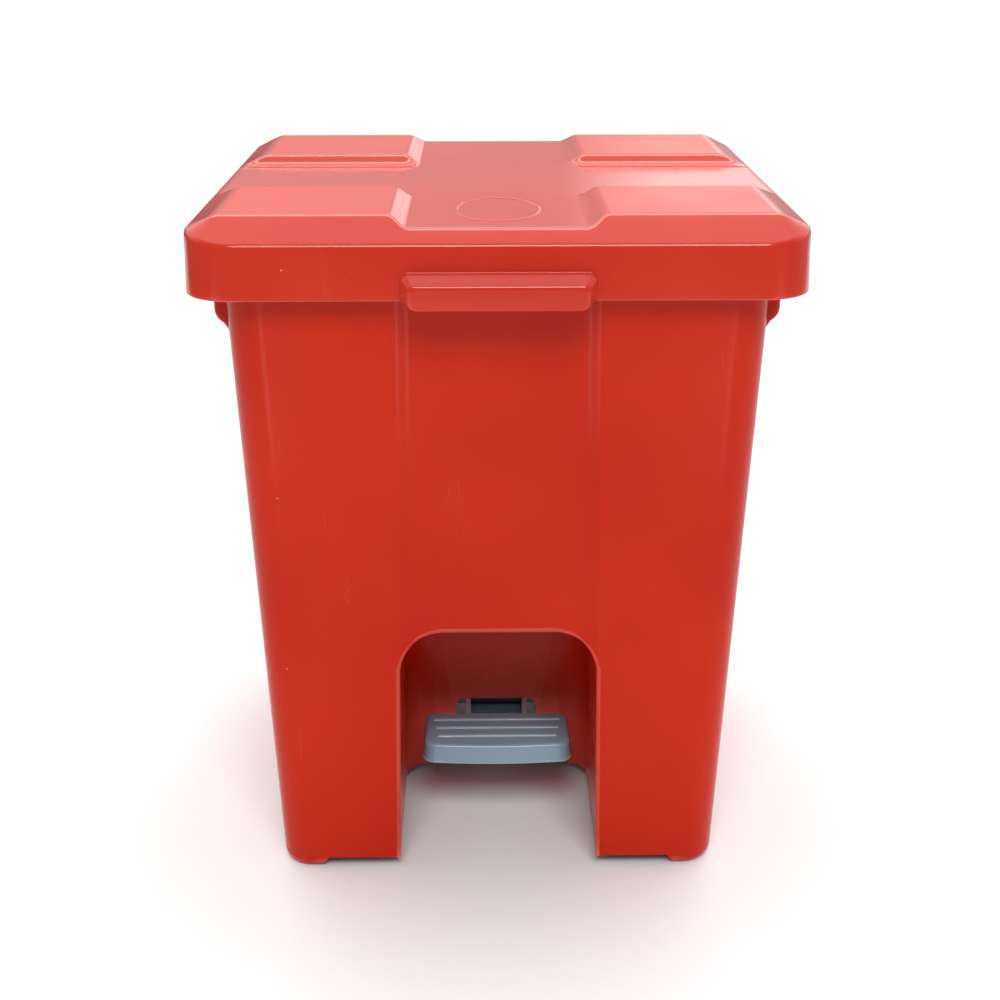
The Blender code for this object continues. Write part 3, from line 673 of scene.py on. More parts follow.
def oval_ring(shift, z):
    return [Vector(((BADGE_HALF_X + shift) * u, BADGE_Y + (BADGE_HALF_Y + shift) * v, z))
            for u, v in circle(0.0, 0.0, 1.0, 72)]


def make_lid(material):
    mesh_data = bmesh.new()
    outer_hem = lid_skin(mesh_data, 0.0)
    inner_hem = lid_skin(mesh_data, WALL)
    skin_between(mesh_data, outer_hem, inner_hem)
    bmesh.ops.remove_doubles(mesh_data, verts=mesh_data.verts, dist=HEM_WELD)
    lid = mesh_object("lid_moulding", mesh_data)
    ribs = [rest_rib(side, place) for side in ("left", "right") for place in REST_PLACES]
    knuckles = [lid_knuckle(side) for side in ("left", "right")]
    add(lid, oval_badge(), lip_block(), lift_tab(), *knuckles, lid_frame(), *ribs)
    cut(lid, lip_hollow(),
        bore("lid_pin_bore", PIN_RADIUS, HINGE_Y, HINGE_Z, HINGE_BORE),
        bore("tab_bore", ROD_RADIUS, TAB_Y, TAB_Z, (-5.0, 20.0)))
    finish_piece(lid, "lid", "lid_red", material, "lid")


# ---------------------------------------------------------------- body

def front_face(z):
    return -(BODY_FRONT + FRONT_DRAFT * z)


def rear_face(z):
    return BODY_REAR + REAR_DRAFT * z


def strip_depth(x, z):
    """How far the front is set back at x: a shallow strip with softly rounded slopes."""
    strip = STRIP_HALF_X - STRIP_NARROWING * z
    share = min(max((strip + STRIP_SLOPE - abs(x)) / STRIP_SLOPE, 0.0), 1.0)
    eased = share * share * (3 - 2 * share)
    return STRIP_DEPTH * (STRIP_STRAIGHT * share + (1 - STRIP_STRAIGHT) * eased)


def body_ring(z, inset=0.0, rim=0.0):
    """The body's section at height z, inset from its outer face or rim mm outside it."""
    half_x = BODY_HALF_X + SIDE_DRAFT * z - inset + rim
    front = front_face(z) + inset - rim
    rear = rear_face(z) - inset + rim
    radius = max(BODY_CORNER + CORNER_GROWTH * z - inset + rim, 4.0)
    strip = STRIP_HALF_X - STRIP_NARROWING * z
    channel_half_x = CHANNEL_HALF_X + inset
    channel_floor = rear_face(z) - CHANNEL_DEPTH - inset
    slope = [strip + STRIP_SLOPE * share for share in spread(0.0, 1.0, 1 / 9)]
    ring = [(x, front + strip_depth(x, z)) for x in [-x for x in reversed(slope)] + slope]
    ring += arc(half_x - radius, front + radius, radius, -90, 0, CORNER_STEPS)
    ring += arc(half_x - radius, rear - radius, radius, 0, 90, CORNER_STEPS)
    ring += channel_corner(channel_half_x, rear, channel_floor)
    ring += arc(-half_x + radius, rear - radius, radius, 90, 180, CORNER_STEPS)
    ring += arc(-half_x + radius, front + radius, radius, 180, 270, CORNER_STEPS)
    return section(ring, "Z", z)


def channel_corner(half_x, rear, floor):
    """The rod channel's section with small rounds at its mouth and in its corners."""
    mouth = 1.5
    corner = 2.5
    right = arc(half_x + mouth, rear - mouth, mouth, 90, 180, 4)
    right += arc(half_x - corner, floor + corner, corner, 0, -90, 4)
    left = [(-x, y) for x, y in reversed(right)]
    return right + left


def foot_rounding(radius, floor):
    """Heights and insets of the quarter round where the walls turn under the feet."""
    return [(floor + rise, inset) for inset, rise in quarter_round(radius, 10)]


def arch_half_width(z, margin):
    return ARCH_HALF_X + margin - ARCH_DRAFT * min(z, ARCH_SPRING)


def arch_void(margin, low):
    """Level sections of the foot recess, grown by margin on every side."""
    radius = ARCH_RADIUS + margin
    heights = [low, ARCH_SPRING]
    heights += [ARCH_SPRING + radius * math.sin(math.radians(angle)) for angle in range(6, 91, 6)]
    rings = []
    for z in heights:
        half_x = arch_half_width(z, margin)
        if z > ARCH_SPRING:
            half_x += math.sqrt(max(radius ** 2 - (z - ARCH_SPRING) ** 2, 0)) - radius
        rear = ARCH_REAR - ARCH_REAR_DRAFT * z + margin
        corner = ARCH_CORNER + margin
        outline = [(half_x, -200.0)]
        outline += arc(half_x - corner, rear - corner, corner, 0, 90, CORNER_STEPS)
        outline += arc(-half_x + corner, rear - corner, corner, 90, 180, CORNER_STEPS)
        outline += [(-half_x, -200.0)]
        rings.append(section(outline, "Z", z))
    return loft("arch_void", rings)


def arch_outline(offset):
    """The recess's mouth seen from the front, grown by offset, as (x, z) from foot to foot."""
    flat = arch_half_width(ARCH_SPRING, 0.0) - ARCH_RADIUS
    right = [(arch_half_width(z, 0.0) + offset, z) for z in spread(1.0, ARCH_SPRING, 12.0)]
    right += arc(flat, ARCH_SPRING, ARCH_RADIUS + offset, 0, 90, 24)[1:]
    over = [(-x, ARCH_TOP + offset) for x in spread(-flat, flat, 1.5)[1:-1]]
    return right + over + [(-x, z) for x, z in reversed(right)]


def arch_bead():
    """The raised round edge that runs up one side of the recess's mouth, over and down again."""
    middle = arch_outline(ARCH_BEAD_OFFSET)
    rings = []
    for angle in range(0, 360, 30):
        turn = math.radians(angle)
        outline = arch_outline(ARCH_BEAD_OFFSET + ARCH_BEAD_RADIUS * math.cos(turn))
        rings.append([Vector((x, front_face(z) + strip_depth(u, w) + ARCH_BEAD_DEPTH
                              - ARCH_BEAD_RADIUS * math.sin(turn), z))
                      for (x, z), (u, w) in zip(outline, middle)])
    return loft("arch_bead", [list(across) for across in zip(*rings)])


def underside_cutters():
    """Two troughs that leave only the four feet below the skirt."""
    across = [
        (-FOOT_INNER, -1.0),
        (FOOT_INNER, -1.0),
        (FOOT_INNER, 0.0),
        (FOOT_INNER - FOOT_SLOPE, SKIRT_LOW),
        (-FOOT_INNER + FOOT_SLOPE, SKIRT_LOW),
        (-FOOT_INNER, 0.0),
    ]
    return [prism("underside_" + axis, across, axis, -180.0, 180.0) for axis in ("Y", "X")]


def pivot_ear(side):
    """A plate behind the recess that carries one end of the pedal's pin."""
    root_y = ARCH_REAR + 0.5
    outline = [(root_y, PIVOT_Z - PIVOT_EAR_LOW), (root_y, PIVOT_Z + PIVOT_EAR_HIGH)]
    outline += arc(PIVOT_Y, PIVOT_Z, PIVOT_EAR_REACH, 80, -80, 20)
    low_x = PIVOT_EAR_LOW_X
    return prism("pivot_ear_" + side, outline, "X", *span(side, low_x, low_x + PIVOT_EAR_WIDTH))


def side_grip(side):
    """A hand grip along the side, with a round shoulder and lower lip; its ends are round in plan."""
    ends = quarter_round(GRIP_END_ROUND)
    stations = [(GRIP_FRONT + away, inset) for away, inset in reversed(ends)]
    stations += [(GRIP_REAR - away, inset) for away, inset in ends]
    sections = []
    for y, inset in stations:
        outer = GRIP_OUTER - inset
        outline = [(GRIP_INNER, GRIP_LOW), (GRIP_INNER, GRIP_TOP)]
        outline += arc(outer - GRIP_ROUND, GRIP_TOP - GRIP_ROUND, GRIP_ROUND, 90, 0, 6)
        outline += arc(outer - GRIP_LIP_ROUND, GRIP_LIP, GRIP_LIP_ROUND, 0, -60, 10)
        sections.append(section(on_side(side, outline), "Y", y))
    return loft("grip_" + side, sections)


def side_grip_hollow(side):
    lip_inner = GRIP_OUTER - WALL
    outline = on_side(side, [
        (GRIP_HOLLOW_INNER, GRIP_LOW - 5.0),
        (GRIP_OUTER + 5.0, GRIP_LOW - 5.0),
        (GRIP_OUTER + 5.0, GRIP_LIP),
        (lip_inner, GRIP_LIP),
        (lip_inner, GRIP_TOP - WALL),
        (GRIP_HOLLOW_INNER, GRIP_TOP - WALL),
    ])
    return prism("grip_hollow_" + side, outline, "Y", GRIP_FRONT + WALL, GRIP_REAR - WALL)


def hinge_ears(side):
    """The two plates behind the body that hold one hinge pin."""
    ears = []
    outline = [(EAR_ROOT_Y, HINGE_Z - EAR_ROOT_LOW)]
    outline += arc(HINGE_Y, HINGE_Z, KNUCKLE_RADIUS, -115, 95, 26)
    outline += [(EAR_ROOT_Y, HINGE_Z + EAR_ROOT_HIGH)]
    reach = KNUCKLE_WIDTH / 2 + SIDE_PLAY
    for label, low_x in (("inner", HINGE_X - reach - EAR_WIDTH), ("outer", HINGE_X + reach)):
        name = "hinge_ear_" + label + "_" + side
        ears.append(prism(name, outline, "X", *span(side, low_x, low_x + EAR_WIDTH)))
    return ears


def make_shell(material):
    walls = [body_ring(z, inset) for z, inset in foot_rounding(FOOT_ROUND, 0.0)]
    under_rim = BODY_TOP - RIM_HEIGHT
    walls += [body_ring(z) for z in spread(20.0, under_rim - RIM_WIDTH, 40.0)]
    walls += [
        body_ring(under_rim - RIM_WIDTH + 1.0, rim=0.4),
        body_ring(under_rim, rim=RIM_WIDTH),
        body_ring(BODY_TOP - 0.5, rim=RIM_WIDTH),
        body_ring(BODY_TOP, rim=RIM_WIDTH - 0.5),
    ]
    shell = loft("shell_moulding", walls)

    inside = [body_ring(z, inset + WALL) for z, inset in foot_rounding(FOOT_ROUND - WALL, WALL)]
    inside += [body_ring(BODY_TOP + 2.0, WALL)]
    cavity = loft("shell_cavity", inside)
    cut(cavity, arch_void(WALL, -20.0), pivot_ear("left"), pivot_ear("right"))
    cut(shell, cavity)
    for side in ("left", "right"):
        add(shell, side_grip(side))
        cut(shell, side_grip_hollow(side))
        add(shell, *hinge_ears(side))
    slot = rounded_box(-SLOT_HALF_X, SLOT_HALF_X, SLOT_LOW, SLOT_HIGH, SLOT_CORNER, 8)
    window = box("arm_window", (-WINDOW_HALF_X, WINDOW_FRONT, WINDOW_LOW),
                 (WINDOW_HALF_X, WINDOW_REAR, WINDOW_TOP))
    cut(shell, arch_void(0.0, -25.0))
    add(shell, arch_bead())
    cut(shell, prism("arm_slot", slot, "Y", ARCH_REAR - 10, ARCH_REAR + 10), window,
        *underside_cutters(),
        bore("pivot_bore", PIN_RADIUS, PIVOT_Y, PIVOT_Z, PIVOT_BORE),
        bore("hinge_bore", PIN_RADIUS, HINGE_Y, HINGE_Z, HINGE_BORE))
    finish_piece(shell, "body", "shell_red", material, "outer_shell")


# ---------------------------------------------------------------- bucket

def make_bucket(material):
    flange_low = BODY_TOP + GAP
    flange_top = flange_low + FLANGE_HEIGHT
    inner = BUCKET_INSET + WALL
    rounding = quarter_round(BUCKET_ROUND)
    rings = [body_ring(BUCKET_FLOOR + rise, BUCKET_INSET + inset) for inset, rise in rounding]
    rings += [
        body_ring(flange_low, BUCKET_INSET),
        body_ring(flange_low, FLANGE_INSET + 0.4),
        body_ring(flange_low + 0.4, FLANGE_INSET),
        body_ring(flange_top - 0.6, FLANGE_INSET),
        body_ring(flange_top, FLANGE_INSET + 0.6),
        body_ring(flange_top, inner - 1.0),
        body_ring(flange_top - 1.0, inner),
    ]
    for inset, rise in reversed(rounding):
        rings.append(body_ring(BUCKET_FLOOR + WALL + rise, inner + inset))
    bucket = loft("bucket_moulding", rings)
    hold = rounded_box(-HOLD_HALF_Y, HOLD_HALF_Y, HOLD_LOW, HOLD_HIGH, HOLD_CORNER, 8)
    cut(bucket, *[prism("hand_hold_" + side, hold, "X", *span(side, 120.0, 150.0))
                  for side in ("left", "right")])
    finish_piece(bucket, "bucket", "bucket_black", material, "inner_bucket")


# ---------------------------------------------------------------- pedal

def tread_ring(z, inset):
    """The tread's outline: round front corners and a front edge that bows forward."""
    half_x = TREAD_HALF_X - inset
    front = TREAD_FRONT + inset
    rear = TREAD_REAR - inset * 0.5
    corner = TREAD_CORNER
    rear_corner = TREAD_REAR_CORNER
    outline = []
    for step in range(-8, 9):
        share = step / 8
        outline.append((share * (half_x - corner), front + TREAD_BOW * share ** 2))
    outline += arc(half_x - corner, front + TREAD_BOW + corner, corner, -84, 0, 12)
    outline += arc(half_x - rear_corner, rear - rear_corner, rear_corner, 0, 90, 8)
    outline += arc(-half_x + rear_corner, rear - rear_corner, rear_corner, 90, 180, 8)
    outline += arc(-half_x + corner, front + TREAD_BOW + corner, corner, 180, 264, 12)
    return section(outline, "Z", z)


def arm_section(y, half_x, low, high):
    """A trough: two upright ribs joined by a web at the bottom."""
    inner = half_x - ARM_RIB
    floor = low + ARM_WEB
    points = [
        (-half_x, low), (half_x, low), (half_x, high), (inner, high), (inner, floor),
        (-inner, floor), (-inner, high), (-half_x, high),
    ]
    return section(points, "Y", y)


def ridge(index, half_x):
    """One raised bar across the tread, a half round with dipped ends."""
    y = TREAD_REAR - RIDGE_START - RIDGE_PITCH * index
    top = TREAD_HIGH - RIDGE_SINK
    root = TREAD_HIGH - RIDGE_RADIUS
    outline = [(y - RIDGE_RADIUS, root)]
    outline += reversed(arc(y, top, RIDGE_RADIUS, 0, 180, 10))
    outline += [(y + RIDGE_RADIUS, root)]
    rings = []
    for share, scale in [(-share, scale) for share, scale in reversed(RIDGE_ENDS)] + list(RIDGE_ENDS):
        rings.append([Vector((share * half_x, u, top + (v - top) * scale if v > top else v))
                      for u, v in outline])
    return loft("ridge_" + str(index), rings)


def make_pedal(material):
    rings = [tread_ring(TREAD_LOW + rise, -reach) for rise, reach in TREAD_FLANGE]
    for drop, inset in quarter_round(TREAD_CROWN):
        rings.append(tread_ring(TREAD_HIGH - drop, TREAD_TAPER / 2 + inset))
    pedal = loft("pedal_moulding", rings)
    hollow = loft("tread_hollow", [
        tread_ring(TREAD_LOW - 1.0, TREAD_WALL),
        tread_ring(TREAD_HIGH - TREAD_WALL, TREAD_WALL + TREAD_TAPER),
    ])
    cut(pedal, hollow)
    ridges = [ridge(index, half_x) for index, half_x in enumerate(RIDGE_HALF_X)]
    arm = loft("arm", [arm_section(*station) for station in ARM_STATIONS])
    hub_half = PIVOT_EAR_LOW_X - SIDE_PLAY
    hub = prism("hub", circle(PIVOT_Y, PIVOT_Z, HUB_RADIUS), "X", -hub_half, hub_half)
    add(pedal, *ridges, arm, hub)
    fork = FORK_HALF_X - ARM_RIB
    reach = ROD_RADIUS + GAP
    lost_motion = rounded_box(ROD_FOOT_Y - LOST_MOTION_Y - reach, ROD_FOOT_Y + reach,
                              ROD_FOOT_Z - reach, ROD_FOOT_Z + LOST_MOTION_Z + reach,
                              LOST_MOTION_CORNER, 6)
    cut(pedal, box("fork_gap", (-fork, FORK_START, 30.0), (fork, 130.0, 70.0)),
        prism("rod_slot", lost_motion, "X", -20.0, 20.0),
        bore("hub_bore", PIN_RADIUS, PIVOT_Y, PIVOT_Z, PIVOT_BORE))
    finish_piece(pedal, "pedal", "pedal_grey", material, "pedal")


# ---------------------------------------------------------------- pins, nuts and rod

def make_pin(name, ends, head, y, z, material):
    """A pin along X with rounded ends; head is None or the x where a pressed head starts."""
    start, end = ends
    way = 1.0 if end > start else -1.0
    quarter = quarter_round(1.0, 30)
    profile = [(start + way * PIN_EASE * rise, PIN_RADIUS - PIN_EASE * inset) for inset, rise in quarter]
    if head is None:
        profile += [(end + start - x, radius) for x, radius in reversed(profile)]
    else:
        profile += [(head, PIN_RADIUS), (head, HEAD_RADIUS - 0.1)]
        for inset, rise in quarter:
            height = HEAD_HEIGHT * (1 - 0.6 * inset)
            profile.append((head + way * height, HEAD_RADIUS * (1 - 0.45 * rise)))
    pin = turned(name + "_steel", profile, y, z)
    finish_piece(pin, "body", "pin_steel", material, name)


def make_nut(name, body, x, dish, y, z, material):
    """A push nut: a dished spring-steel ring."""
    hole = PIN_RADIUS + GAP
    profile = [
        (x, hole), (x, NUT_RADIUS - 0.15), (x + dish * 0.15, NUT_RADIUS),
        (x + dish * NUT_HEIGHT * 0.45, NUT_RADIUS - 0.1),
        (x + dish * NUT_HEIGHT * 0.5, NUT_RADIUS - 0.3),
        (x + dish * NUT_HEIGHT, hole + 1.0), (x + dish * NUT_HEIGHT, hole),
    ]
    nut = turned(name + "_ring", profile, y, z, closed=True)
    finish_piece(nut, body, "nut_steel", material, name)


def bent_path(corners, radius, steps):
    """Straight runs between corners, with each inner corner rounded to radius."""
    path = [corners[0]]
    for before, corner, after in zip(corners, corners[1:], corners[2:]):
        path += fillet(before, corner, after, radius, steps)
    return path + [corners[-1]]


def make_rod(material):
    """The bent wire, swept as a round section along its path."""
    upper = Vector((0.0, TAB_Y, TAB_Z))
    lower = Vector((0.0, ROD_FOOT_Y, ROD_FOOT_Z))
    path = bent_path([
        upper + Vector((ROD_UPPER_END, 0.0, 0.0)), upper, lower,
        lower + Vector((ROD_LOWER_END, 0.0, 0.0)),
    ], ROD_BEND, 12)
    normal = Vector((0.0, 1.0, -(ROD_FOOT_Y - TAB_Y) / (ROD_FOOT_Z - TAB_Z))).normalized()
    rings = []
    for index, place in enumerate(path):
        before = path[max(index - 1, 0)]
        after = path[min(index + 1, len(path) - 1)]
        along = (after - before).normalized()
        side = along.cross(normal).normalized()
        over = side.cross(along)
        size = ROD_RADIUS * (0.97 if index in (0, len(path) - 1) else 1.0)
        rings.append([place + side * u + over * v for u, v in circle(0.0, 0.0, size, 24)])
    rod = loft("lift_rod_wire", rings)
    finish_piece(rod, "rod", "rod_steel", material, "lift_rod")


def make_hardware(pin_steel, nut_steel, rod_steel):
    ear_outer = PIVOT_EAR_LOW_X + PIVOT_EAR_WIDTH
    end = ear_outer + NUT_HEIGHT + PIVOT_PIN_REACH
    make_pin("pedal_pivot_pin", (-end, end), None, PIVOT_Y, PIVOT_Z, pin_steel)
    reach = KNUCKLE_WIDTH / 2 + SIDE_PLAY + EAR_WIDTH
    for side, sign in (("left", -1.0), ("right", 1.0)):
        nut_x = sign * (ear_outer + GAP)
        make_nut("pivot_nut_" + side, "body", nut_x, sign, PIVOT_Y, PIVOT_Z, nut_steel)
        inner = sign * (HINGE_X - reach - GAP - NUT_HEIGHT - HINGE_PIN_REACH)
        head = sign * (HINGE_X + reach + GAP)
        ends = (inner, head + sign * HEAD_HEIGHT)
        make_pin("hinge_pin_" + side, ends, head, HINGE_Y, HINGE_Z, pin_steel)
        nut_x = sign * (HINGE_X - reach - GAP)
        make_nut("hinge_nut_" + side, "body", nut_x, -sign, HINGE_Y, HINGE_Z, nut_steel)
    make_rod(rod_steel)
    make_nut("rod_nut_upper", "rod", TAB_LOW_X + TAB_WIDTH + GAP, 1.0, TAB_Y, TAB_Z, nut_steel)
    make_nut("rod_nut_lower", "rod", FORK_HALF_X + GAP, 1.0, ROD_FOOT_Y, ROD_FOOT_Z, nut_steel)


# ---------------------------------------------------------------- materials

def grey(level):
    return (level, level, level, 1.0)


class Nodes:
    """Short calls for building the nodes of a material or of the world."""

    def __init__(self, owner):
        owner.use_nodes = True
        self.owner = owner
        self.tree = owner.node_tree
        self.shader = self.tree.nodes.get("Principled BSDF")

    def node(self, kind, **settings):
        made = self.tree.nodes.new(kind)
        for key, value in settings.items():
            if key in made.inputs:
                made.inputs[key].default_value = value
            else:
                setattr(made, key, value)
        return made

    def link(self, start, end):
        self.tree.links.new(start, end)

    def place(self, stretch=(1.0, 1.0, 1.0)):
        """Object coordinates in metres, stretched."""
        coordinates = self.node("ShaderNodeTexCoord")
        mapping = self.node("ShaderNodeMapping", Scale=stretch)
        self.link(coordinates.outputs["Object"], mapping.inputs["Vector"])
        return mapping.outputs["Vector"]

    def noise(self, scale, detail=3.0, stretch=(1.0, 1.0, 1.0), roughness=0.5):
        texture = self.node("ShaderNodeTexNoise", Scale=scale, Detail=detail, Roughness=roughness)
        self.link(self.place(stretch), texture.inputs["Vector"])
        return texture.outputs["Fac"]

    def between(self, value, low=0.0, high=1.0, to_low=0.0, to_high=1.0):
        """The value, with low to high stretched to to_low to to_high and held there."""
        limits = {"From Min": low, "From Max": high, "To Min": to_low, "To Max": to_high}
        stretched = self.node("ShaderNodeMapRange", **limits)
        self.link(value, stretched.inputs["Value"])
        return stretched.outputs["Result"]

    def mix(self, factor, first, second, kind="RGBA"):
        """A blend of two colours, or of two numbers if kind is VALUE; each is a socket or plain."""
        blend = self.node("ShaderNodeMix", data_type="FLOAT" if kind == "VALUE" else kind)
        self.link(factor, blend.inputs["Factor"])
        for name, value in (("A", first), ("B", second)):
            socket = [s for s in blend.inputs if s.name == name and s.type == kind][0]
            if isinstance(value, (tuple, float)):
                socket.default_value = value
            else:
                self.link(value, socket)
        return [s for s in blend.outputs if s.type == kind][0]

    def pair(self, operation, first, second):
        result = self.node("ShaderNodeMath", operation=operation)
        self.link(first, result.inputs[0])
        self.link(second, result.inputs[1])
        return result.outputs[0]

    def bump(self, height, strength, distance):
        bump = self.node("ShaderNodeBump", Strength=strength, Distance=distance)
        self.link(height, bump.inputs["Height"])
        self.link(bump.outputs["Normal"], self.shader.inputs["Normal"])

    def surface(self, color, rough):
        self.link(color, self.shader.inputs["Base Color"])
        self.link(rough, self.shader.inputs["Roughness"])


def moulded_plastic(name, deep, plain, pale, gloss, ripple, specks, specular):
    """Injection-moulded plastic: slow colour drift, fine ripple, scuffs, worn edges and dust specks."""
    nodes = Nodes(bpy.data.materials.new(name))
    drift = nodes.between(nodes.noise(7.0, 2.0), 0.35, 0.65)
    color = nodes.mix(drift, deep, plain)
    geometry = nodes.node("ShaderNodeNewGeometry")
    worn = nodes.between(geometry.outputs["Pointiness"], 0.52, 0.60, to_high=0.55)
    color = nodes.mix(worn, color, pale)
    scuff_noise = nodes.noise(60.0, 6.0, (1.0, 1.0, 0.12), 0.65)
    scuffs = nodes.between(scuff_noise, 0.62, 0.78)
    color = nodes.mix(nodes.between(scuffs, to_high=0.05), color, pale)
    dust = nodes.node("ShaderNodeTexVoronoi", Scale=75.0)
    nodes.link(nodes.place(), dust.inputs["Vector"])
    dot = nodes.between(dust.outputs["Distance"], 0.030, 0.045, 1.0, 0.0)
    sparse = nodes.between(nodes.noise(22.0, 1.0), 0.60, 0.66, 0.0, specks)
    color = nodes.mix(nodes.pair("MULTIPLY", dot, sparse), color, (0.80, 0.62, 0.58, 1.0))
    smear = nodes.between(nodes.noise(14.0, 4.0, (1.0, 1.0, 0.5)), 0.3, 0.7, gloss - 0.04, gloss + 0.05)
    nodes.surface(color, nodes.pair("ADD", smear, nodes.between(scuffs, to_high=0.12)))
    peel = nodes.between(nodes.noise(420.0, 2.0), to_high=0.035)
    nodes.bump(nodes.pair("ADD", nodes.noise(16.0, 1.5), peel), 1.0, ripple)
    nodes.shader.inputs["IOR"].default_value = 1.5
    nodes.shader.inputs["Specular IOR Level"].default_value = specular
    return nodes


def satin_pads(nodes, satin):
    """Give the flat tops of the lid's four pads a satin finish; the rest stays polished."""
    parts = nodes.node("ShaderNodeSeparateXYZ")
    nodes.link(nodes.place(), parts.inputs[0])
    flat = nodes.between(parts.outputs["Z"], (LID_TOP - 0.35) * MM, (LID_TOP - 0.1) * MM, 0.0, satin)
    rough = nodes.shader.inputs["Roughness"].links[0].from_socket
    nodes.link(nodes.pair("ADD", rough, flat), nodes.shader.inputs["Roughness"])


def grained_plastic(name, dark, light):
    """Satin black plastic: slow drift, drag marks and fine grain."""
    nodes = Nodes(bpy.data.materials.new(name))
    drift = nodes.between(nodes.noise(9.0, 4.0), 0.3, 0.7)
    drag = nodes.between(nodes.noise(120.0, 5.0, (1.0, 1.0, 0.08), 0.7), 0.6, 0.8, to_high=0.35)
    color = nodes.mix(drag, nodes.mix(drift, dark, light), grey(0.11))
    nodes.surface(color, nodes.between(nodes.noise(30.0, 4.0), 0.3, 0.7, 0.40, 0.52))
    nodes.bump(nodes.noise(900.0, 2.0), 0.35, 0.00008)
    return nodes.owner


def worked_steel(name, dark, light, roughness, grain):
    """Zinc or spring steel: drawn or stamped grain, slight tarnish; grain is its stretch."""
    nodes = Nodes(bpy.data.materials.new(name))
    tarnish = nodes.between(nodes.noise(180.0, 4.0), 0.35, 0.7)
    lines = nodes.noise(700.0, 3.0, grain)
    rough = nodes.between(lines, 0.3, 0.7, roughness - 0.07, roughness + 0.1)
    nodes.surface(nodes.mix(tarnish, dark, light), rough)
    nodes.shader.inputs["Metallic"].default_value = 1.0
    nodes.bump(lines, 0.4, 0.00003)
    return nodes.owner


def floor_plain(name):
    nodes = Nodes(bpy.data.materials.new(name))
    tone = nodes.between(nodes.noise(1.5, 2.0), 0.3, 0.7)
    nodes.link(nodes.mix(tone, grey(0.86), grey(0.88)), nodes.shader.inputs["Base Color"])
    nodes.shader.inputs["Roughness"].default_value = 0.9
    return nodes.owner


# ---------------------------------------------------------------- studio

def make_camera():
    data = bpy.data.cameras.new("camera")
    data.sensor_width = 36.0
    data.lens = 53.12
    data.shift_y = -0.1224
    data.clip_start = 0.05
    camera = bpy.data.objects.new("camera", data)
    camera.location = (-0.0096, -0.8672, 0.5389)
    camera.rotation_euler = (math.radians(90.0 - 17.73), 0.0, math.radians(-0.82))
    bpy.context.scene.collection.objects.link(camera)
    bpy.context.scene.camera = camera


def area_light(name, place, target, size, power):
    data = bpy.data.lights.new(name, "AREA")
    data.shape = "RECTANGLE"
    data.size, data.size_y = size
    data.energy = power
    light = bpy.data.objects.new(name, data)
    light.location = place
    aim = Vector(target) - Vector(place)
    light.rotation_euler = aim.to_track_quat("-Z", "Y").to_euler()
    light.visible_camera = False
    bpy.context.scene.collection.objects.link(light)


def make_world():
    """White to the camera; it lights the bin with a bright back wall and a dim front."""
    nodes = Nodes(bpy.data.worlds.new("studio"))
    parts = nodes.node("ShaderNodeSeparateXYZ")
    nodes.link(nodes.node("ShaderNodeTexCoord").outputs["Generated"], parts.inputs[0])
    wall = nodes.node("ShaderNodeValToRGB")
    stops = list(wall.color_ramp.elements) + [wall.color_ramp.elements.new(0.5) for _ in WALL_LIGHT[2:]]
    for stop, (place, level) in zip(stops, WALL_LIGHT):
        stop.position = place
        stop.color = grey(level)
    nodes.link(nodes.between(parts.outputs["X"], -0.5, 0.5), wall.inputs["Fac"])
    horizon = nodes.between(parts.outputs["Z"], 0.0, 0.12, HORIZON_LEVEL, WALL_LEVEL)
    low_wall = nodes.pair("MULTIPLY", wall.outputs["Color"], horizon)
    height = nodes.between(parts.outputs["Z"], 0.22, 0.36)
    behind = nodes.between(parts.outputs["Y"], -0.3, 0.3)
    room = nodes.mix(behind, FRONT_LIGHT, nodes.mix(height, low_wall, HIGH_LIGHT, "VALUE"), "VALUE")
    seen = nodes.node("ShaderNodeLightPath").outputs["Is Camera Ray"]
    background = nodes.tree.nodes["Background"]
    background.inputs["Color"].default_value = grey(1.0)
    nodes.link(nodes.mix(seen, room, 1.0, "VALUE"), background.inputs["Strength"])
    bpy.context.scene.world = nodes.owner


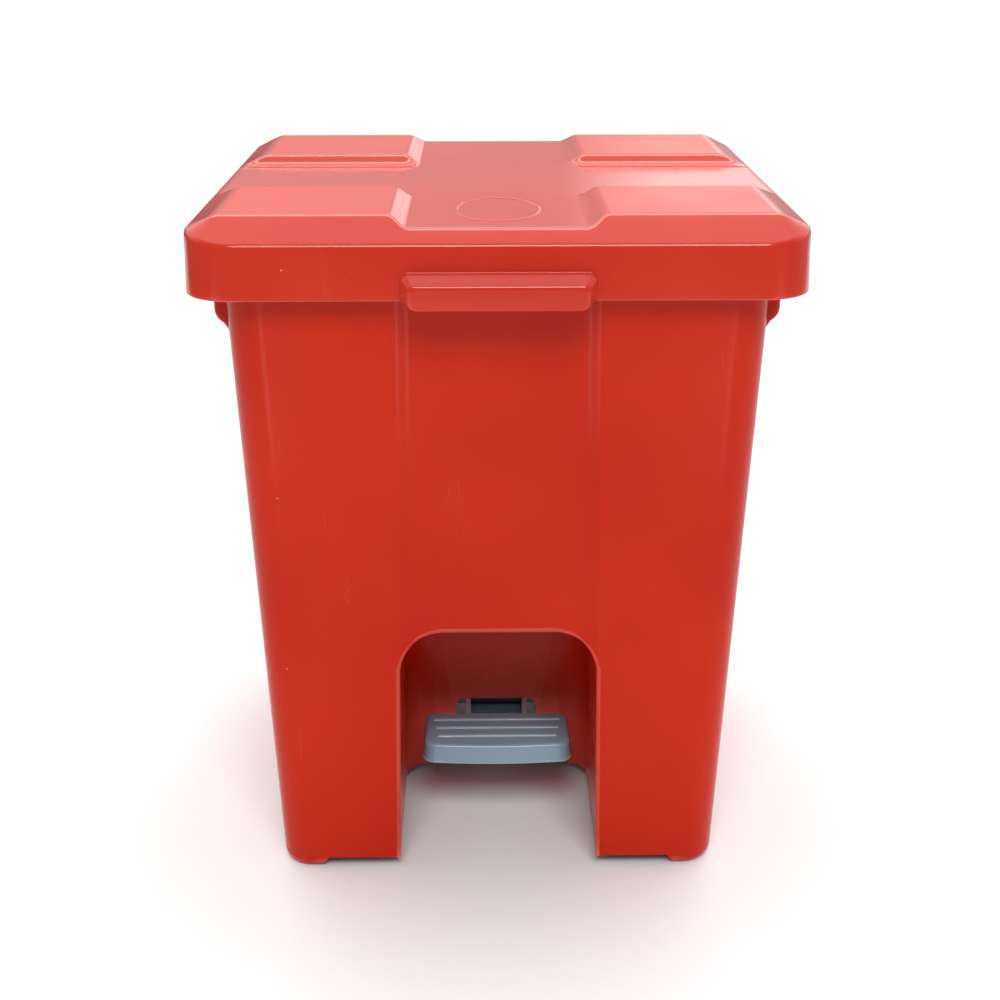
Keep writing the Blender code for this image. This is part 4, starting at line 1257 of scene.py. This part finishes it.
def make_studio():
    make_world()
    mesh_data = bmesh.new()
    bmesh.ops.create_grid(mesh_data, x_segments=1, y_segments=1, size=FLOOR_HALF)
    floor = mesh_object("floor", mesh_data)
    floor.data.materials.append(floor_plain("floor_plain"))
    area_light("key", (0.1, -1.75, 2.15), (0.0, 0.0, 0.3), (1.4, 1.0), 39.0)
    area_light("ceiling", (0.0, -0.2, 2.4), (0.0, -0.1, 0.3), (2.4, 1.4), 6.0)
    area_light("rear_strip", (0.0, 1.6, 2.3), (0.0, 0.0, 0.39), (2.8, 0.35), 17.0)
    for side in (-1.0, 1.0):
        area_light("low_panel", (side * 0.22, -0.47, 0.15), (0.0, -0.14, 0.3), (0.06, 0.10), 0.08)
    bpy.context.scene.view_settings.view_transform = "Standard"


def make_bin():
    red_pale = (0.86, 0.30, 0.24, 1.0)
    shell_red = moulded_plastic("shell_red", (0.51, 0.016, 0.002, 1.0), (0.57, 0.021, 0.003, 1.0),
                                red_pale, gloss=0.22, ripple=0.00035, specks=0.4, specular=0.13)
    lid_red = moulded_plastic("lid_red", (0.55, 0.029, 0.012, 1.0), (0.61, 0.038, 0.017, 1.0),
                              red_pale, gloss=0.13, ripple=0.00025, specks=0.5, specular=0.4)
    satin_pads(lid_red, 0.22)
    pedal_grey = moulded_plastic("pedal_grey", (0.20, 0.31, 0.40, 1.0), (0.23, 0.355, 0.45, 1.0),
                                 (0.60, 0.67, 0.73, 1.0), gloss=0.17, ripple=0.00020, specks=0.2,
                                 specular=0.5)
    bucket_black = grained_plastic("bucket_black", grey(0.020), grey(0.036))
    pin_steel = worked_steel("pin_steel", grey(0.50), grey(0.72), 0.26, (0.1, 1.0, 1.0))
    nut_steel = worked_steel("nut_steel", grey(0.36), grey(0.58), 0.34, (1.0, 1.0, 1.0))
    rod_steel = worked_steel("rod_steel", grey(0.48), grey(0.70), 0.30, (1.0, 1.0, 0.05))
    make_shell(shell_red.owner)
    make_lid(lid_red.owner)
    make_bucket(bucket_black)
    make_pedal(pedal_grey.owner)
    make_hardware(pin_steel, nut_steel, rod_steel)


make_camera()
make_studio()
make_bin()
